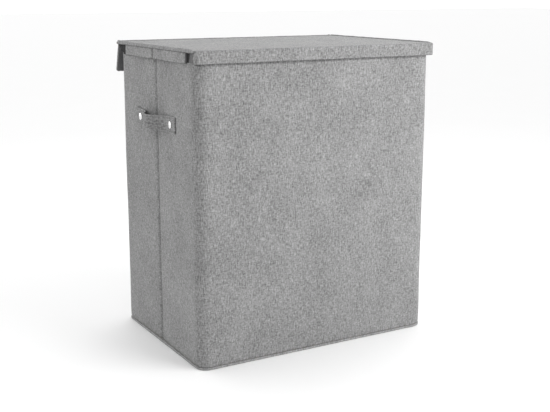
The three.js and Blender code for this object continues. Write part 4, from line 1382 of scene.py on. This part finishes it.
# Hook-and-loop strips
def build_strip(name, body, low, high, facing, colours, node, lean=None, sewn=0.9 * MM):
    """A tape with flat woven edges and a raised pile between them. Returns a row for stitches near each
    edge."""
    strip = start_block(name, low, high)
    pick(strip, "FACE", lambda item: item.normal.y * facing > 0.5)
    bpy.ops.mesh.inset(thickness=2.2 * MM)
    bpy.ops.mesh.inset(thickness=0.25 * MM, depth=0.2 * MM)
    round_edges(strip, 0.18 * MM, 2, lambda edge: edge.is_convex and edge.calc_face_angle(0) > 1)
    leave_edit_mode()
    slice_at(strip, 0, spread(low[0], high[0], 6 * MM))
    points = points_of(strip)
    points[:, 2] += unevenness(points, 0.03, 19) * 0.12 * MM
    set_points(strip, points)
    face = (high if facing > 0 else low)[1]
    rows = [([(low[0] + 1 * MM, face, z), (high[0] - 1 * MM, face, z)], [(0, facing, 0)] * 2)
            for z in (low[2] + sewn, high[2] - sewn)]
    if lean is not None:
        strip.data.transform(lean)
        spin = lean.to_3x3()
        rows = [([lean @ Vector(p) for p in track], [spin @ Vector(n) for n in ups]) for track, ups in rows]
    soften(strip, 45)
    finish_piece(strip, hook_and_loop(colours), body, "strip", node)
    return rows


def build_strips(shape, colours):
    """The tapes of the back wall, the bags and the rear flap, with stitches on the first and the last."""
    back_low, back_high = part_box("back_hook_strip")
    rows = build_strip("back_tape", "hamper", back_low, back_high, 1, colours, "back_hook_strip")
    for bag in ("left_bag", "right_bag"):
        for end_name, end in ENDS.items():
            for kind, facing in (("hook", -end), ("loop", end)):
                node = f"{bag}_{end_name}_{kind}_strip"
                low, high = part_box(node)
                build_strip(f"{bag}_{end_name}_{kind}_tape", "hamper", low, high, facing, colours, node)
    sew("tape_stitching", "hamper", "strip", rows, shape, black_thread(colours))
    drop = CAD_HIGH.z - back_high.z
    face = -(3.7 + 0.3) * MM
    low = (back_low.x, face - 1 * MM, -drop - (back_high.z - back_low.z))
    high = (back_high.x, face, -drop)
    rows = build_strip("flap_tape", "rear_flap", low, high, -1, colours, "flap_loop_strip",
                       flap_place(shape), 1.8 * MM)
    sew("flap_tape_stitching", "rear_flap", "strip", rows, shape, black_thread(colours))


# Bags
def build_bag(shape, colours, side_name):
    """One lift-out bag: a slack woven tube on a sewn bottom, with a bound mouth and two webbing handles."""
    side = SIDES[side_name]
    node = f"{side_name}_bag"
    low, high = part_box(node)
    centre = (low + high) / 2
    middle = np.array([centre.x, centre.y])
    half_x, half_y = (high.x - low.x) / 2, (high.y - low.y) / 2
    points, normals, run = outline_of_box(half_x, half_y, shape.bag_radius, 8 * MM)
    heights = [low.z + 2 * MM, low.z + 5 * MM, low.z + 9 * MM, low.z + 14 * MM,
               *spread(low.z + 14 * MM, high.z - 3 * MM, 9 * MM), high.z - 3 * MM]
    tuck = [6 * MM * (1 - min((z - low.z) / (14 * MM), 1)) ** 1.6 for z in heights]
    places = raise_wall((points, normals, run), list(zip(tuck, heights)))
    rows, columns, _ = places.shape
    share = np.clip((np.array(heights) - low.z) / (high.z - low.z), 0, 1)
    slack = np.sin(np.pi * share ** 0.85)[:, None] ** 0.8
    along = run / run[-1]
    corner = np.abs(np.abs(normals).sum(1) - 1) > 0.05
    seed = 21 + side
    drift = unevenness(np.column_stack([share * 1.2, share * 0, share * 0]), 0.5, seed)[:, None] * 0.02
    phase = 2 * np.pi * (along[None] + drift)
    pleats = np.sin(phase * 9 + seed) + 0.6 * np.sin(phase * 17 + 2.1 * seed) + 0.35 * np.sin(phase * 31)
    pleats /= 1 + 0.6 + 0.35
    broad = unevenness(places.reshape(-1, 3), 0.11, seed).reshape(rows, columns)
    broad[:, -1] = broad[:, 0]
    inward = slack * shape.bag_sag * (0.55 + 0.3 * pleats + 0.35 * broad)
    inward *= np.where(corner, 0.45, 1.0)[None]
    inward = np.maximum(inward, -1.0 * MM) + 0.2 * MM
    places[..., :2] -= normals[None] * inward[..., None]
    places[..., :2] += middle
    wall = cut_cloth(f"{side_name}_bag_wall", run, heights, places)
    weld(wall)
    thicken(wall, BAG_THICKNESS)
    soften(wall, 60)
    finish_piece(wall, bag_cloth(colours), "hamper", "bag", node)

    inset = 4.5 * MM
    reach_x, reach_y = half_x - inset, half_y - inset
    floor = rounded_sheet(f"{side_name}_bag_floor",
                          (centre.x - reach_x, centre.y - reach_y, low.z + 0.2 * MM),
                          (centre.x + reach_x, centre.y + reach_y, low.z + 2.4 * MM),
                          shape.bag_radius - inset, 0.9 * MM, 9 * MM)
    spots = points_of(floor)
    upper = spots[:, 2] > low.z + 1.2 * MM
    spots[:, 2] += upper * np.abs(unevenness(spots, 0.06, seed + 3)) * 2.2 * MM
    set_points(floor, spots)
    unwrap(floor, half_x, half_y, shape.bag_radius, (centre.x, centre.y))
    soften(floor, 50)
    finish_piece(floor, bag_cloth(colours), "hamper", "bag")

    hem_low, hem_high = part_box(f"{side_name}_bag_hem")
    inner = half_y - (hem_high.y - hem_low.y) / 2 + 1.0 * MM
    out = 0.9 * MM
    profile = [(-0.1 * MM, high.z - 9 * MM), (-out, high.z - 8.4 * MM), (-out, high.z - 3 * MM)]
    width = (inner + out) / 2
    profile += [(width - out - x, z) for x, z in arc((0, high.z - width), width, 0, 180, 8)]
    profile += [(inner, high.z - 8 * MM), (inner, hem_low.z + 3 * MM),
                (inner - 0.1 * MM, hem_low.z + 0.6 * MM), (inner - 0.9 * MM, hem_low.z)]
    places = raise_wall((points, normals, run), profile)
    ripple = (unevenness(places.reshape(-1, 3), 0.03, seed + 5) * 0.2 * MM).reshape(len(profile), columns)
    ripple[:, -1] = ripple[:, 0]
    places[..., :2] -= normals[None] * ripple[..., None]
    places[..., :2] += middle
    hem = cut_cloth(f"{side_name}_bag_binding", run, run_of(profile), places)
    weld(hem)
    thicken(hem, HEM_THICKNESS)
    soften(hem, 60)
    finish_piece(hem, nonwoven(colours), "hamper", "lining", f"{side_name}_bag_hem")

    ups = -np.column_stack([normals, np.zeros(columns)])
    tracks = [np.column_stack([points - normals * (inner + 0.05 * MM) + middle, np.full(columns, z)])
              for z in (hem_low.z + 2.5 * MM, hem_high.z - 4.5 * MM)]
    sew(f"{side_name}_bag_hem_stitching", "hamper", "lining", [(track, ups) for track in tracks], shape,
        black_thread(colours))
    for end_name, end in ENDS.items():
        build_webbing(shape, colours, side_name, end_name, end, centre, hem_high)


def build_webbing(shape, colours, side_name, end_name, end, centre, hem_high):
    """A webbing handle: two legs sewn flat on the binding, and a loop that hangs from them."""
    node = f"{side_name}_bag_{end_name}_handle"
    low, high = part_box(node)
    width, thickness = 25 * MM, 1.7 * MM
    leg, axis = shape.webbing_spacing / 2, high.z
    bend = low.z + (leg + width / 2)
    sewn_top = hem_high.z - 3.5 * MM
    y = (low.y + high.y) / 2
    hinge_rows = [axis + step * MM for step in (-3, -1.5, 0, 1.5, 3)]
    leg_heights = [*spread(bend, axis - 3 * MM, 6 * MM), *hinge_rows, sewn_top]
    track = np.array([*((-leg, z) for z in reversed(leg_heights)), *arc((0, bend), leg, 180, 360, 22),
                      *((leg, z) for z in leg_heights)])
    along = np.gradient(track, axis=0)
    along /= np.linalg.norm(along, axis=1)[:, None]
    square = np.column_stack([-along[:, 1], along[:, 0]])
    across = np.linspace(-width / 2, width / 2, 9)
    cup = 0.25 * MM * (1 - (2 * across / width) ** 2)
    places = np.array([[(centre.x + x + n[0] * a, y - end * c, z + n[1] * a) for a, c in zip(across, cup)]
                       for (x, z), n in zip(track, square)])
    handle = cut_cloth(f"{side_name}_{end_name}_webbing", across, run_of(track.tolist()), places)
    if end < 0:
        turn_over(handle)
    thicken(handle, thickness, 0.0)
    soften(handle, 50)
    finish_piece(handle, ribbed_webbing(colours), None, "webbing", node)
    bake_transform(handle)
    rows = []
    face = y - end * (thickness / 2 + 0.25 * MM)
    for x in (-leg, leg):
        w, z0, z1 = width / 2 - 3 * MM, axis + 3.2 * MM, sewn_top - 1.5 * MM
        loop = [(-w, z0), (w, z0), (w, z1), (-w, z1), (-w, z0), (w, z1)]
        for (x0, a), (x1, b) in zip(loop, loop[1:]):
            rows.append(([(centre.x + x + x0, face, a), (centre.x + x + x1, face, b)], [(0, -end, 0)] * 2))
    sew(f"{side_name}_{end_name}_webbing_stitching", "hamper", "webbing", rows, shape, grey_thread(colours))


def dress_boards(colours):
    """The hidden stiffeners keep their CAD shapes and are given pressed fibreboard."""
    board = fibreboard(colours)
    for name, item in frame["nodes"].items():
        if name.endswith("_board") and name != "base_board":
            item.data.materials.clear()
            item.data.materials.append(board)


# Operators
def settings(context):
    return context.scene.hamper_shape, context.scene.hamper_colours, context.scene.hamper_studio


class HAMPER_OT_studio(bpy.types.Operator):
    """Pale floor, soft lights and the camera"""
    bl_idname = "hamper.studio"
    bl_label = "Studio"

    def execute(self, context):
        build_studio(settings(context)[2])
        return {"FINISHED"}


class HAMPER_OT_cover(bpy.types.Operator):
    """Linen cover round the box"""
    bl_idname = "hamper.cover"
    bl_label = "Box cover"

    def execute(self, context):
        build_cover(*settings(context)[:2])
        return {"FINISHED"}


class HAMPER_OT_bottom(bpy.types.Operator):
    """Bottom panel with its rolled edge"""
    bl_idname = "hamper.bottom"
    bl_label = "Bottom panel"

    def execute(self, context):
        build_bottom(*settings(context)[:2])
        return {"FINISHED"}


class HAMPER_OT_rim(bpy.types.Operator):
    """Binding over the rim of the box"""
    bl_idname = "hamper.rim"
    bl_label = "Rim binding"

    def execute(self, context):
        build_rim_binding(*settings(context)[:2])
        return {"FINISHED"}


class HAMPER_OT_lining(bpy.types.Operator):
    """Wall lining, loose base board and stiffeners"""
    bl_idname = "hamper.lining"
    bl_label = "Lining and boards"

    def execute(self, context):
        build_lining(*settings(context)[:2])
        dress_boards(settings(context)[1])
        return {"FINISHED"}


class HAMPER_OT_straps(bpy.types.Operator):
    """Carrying straps on the two sides"""
    bl_idname = "hamper.straps"
    bl_label = "Carrying straps"

    def execute(self, context):
        build_straps(*settings(context)[:2])
        return {"FINISHED"}


class HAMPER_OT_rivets(bpy.types.Operator):
    """Rivets and washers of the straps"""
    bl_idname = "hamper.rivets"
    bl_label = "Rivets"

    def execute(self, context):
        build_rivets(*settings(context)[:2])
        return {"FINISHED"}


class HAMPER_OT_lid(bpy.types.Operator):
    """Lid with its lip, flanges and linings"""
    bl_idname = "hamper.lid"
    bl_label = "Lid"

    def execute(self, context):
        build_lid(*settings(context)[:2])
        build_lid_linings(*settings(context)[:2])
        return {"FINISHED"}


class HAMPER_OT_flap(bpy.types.Operator):
    """Rear flap and the fold that it hangs from"""
    bl_idname = "hamper.flap"
    bl_label = "Rear flap"

    def execute(self, context):
        build_flap(*settings(context)[:2])
        return {"FINISHED"}


class HAMPER_OT_strips(bpy.types.Operator):
    """Hook-and-loop tapes of the flap and the bags"""
    bl_idname = "hamper.strips"
    bl_label = "Hook-and-loop tapes"

    def execute(self, context):
        build_strips(*settings(context)[:2])
        return {"FINISHED"}


class HAMPER_OT_bags(bpy.types.Operator):
    """Two lift-out bags with their bindings and webbing handles"""
    bl_idname = "hamper.bags"
    bl_label = "Bags"

    def execute(self, context):
        for side_name in SIDES:
            build_bag(*settings(context)[:2], side_name)
        return {"FINISHED"}


STEPS = (HAMPER_OT_studio, HAMPER_OT_cover, HAMPER_OT_bottom, HAMPER_OT_rim, HAMPER_OT_lining,
         HAMPER_OT_straps, HAMPER_OT_rivets, HAMPER_OT_lid, HAMPER_OT_flap, HAMPER_OT_strips, HAMPER_OT_bags)


class HAMPER_PT_panel(bpy.types.Panel):
    """Lists the steps that dress the hamper"""
    bl_idname = "HAMPER_PT_panel"
    bl_label = "Laundry hamper"
    bl_space_type = "VIEW_3D"
    bl_region_type = "UI"
    bl_category = "Hamper"

    def draw(self, context):
        for step in STEPS:
            self.layout.operator(step.bl_idname)
        for group in settings(context):
            box = self.layout.box()
            for key in group.bl_rna.properties.keys():
                if key not in ("rna_type", "name"):
                    box.prop(group, key)


GROUPS = {"hamper_shape": HamperShape, "hamper_colours": HamperColours, "hamper_studio": HamperStudio}
CLASSES = (*GROUPS.values(), *STEPS, HAMPER_PT_panel)


def register():
    for item in CLASSES:
        bpy.utils.register_class(item)
    for name, group in GROUPS.items():
        setattr(bpy.types.Scene, name, PointerProperty(type=group))


def unregister():
    for name in GROUPS:
        delattr(bpy.types.Scene, name)
    for item in reversed(CLASSES):
        bpy.utils.unregister_class(item)


def main():
    register()
    for step in STEPS:
        getattr(bpy.ops.hamper, step.bl_idname.split(".")[1])()


if __name__ == "__main__":
    main()
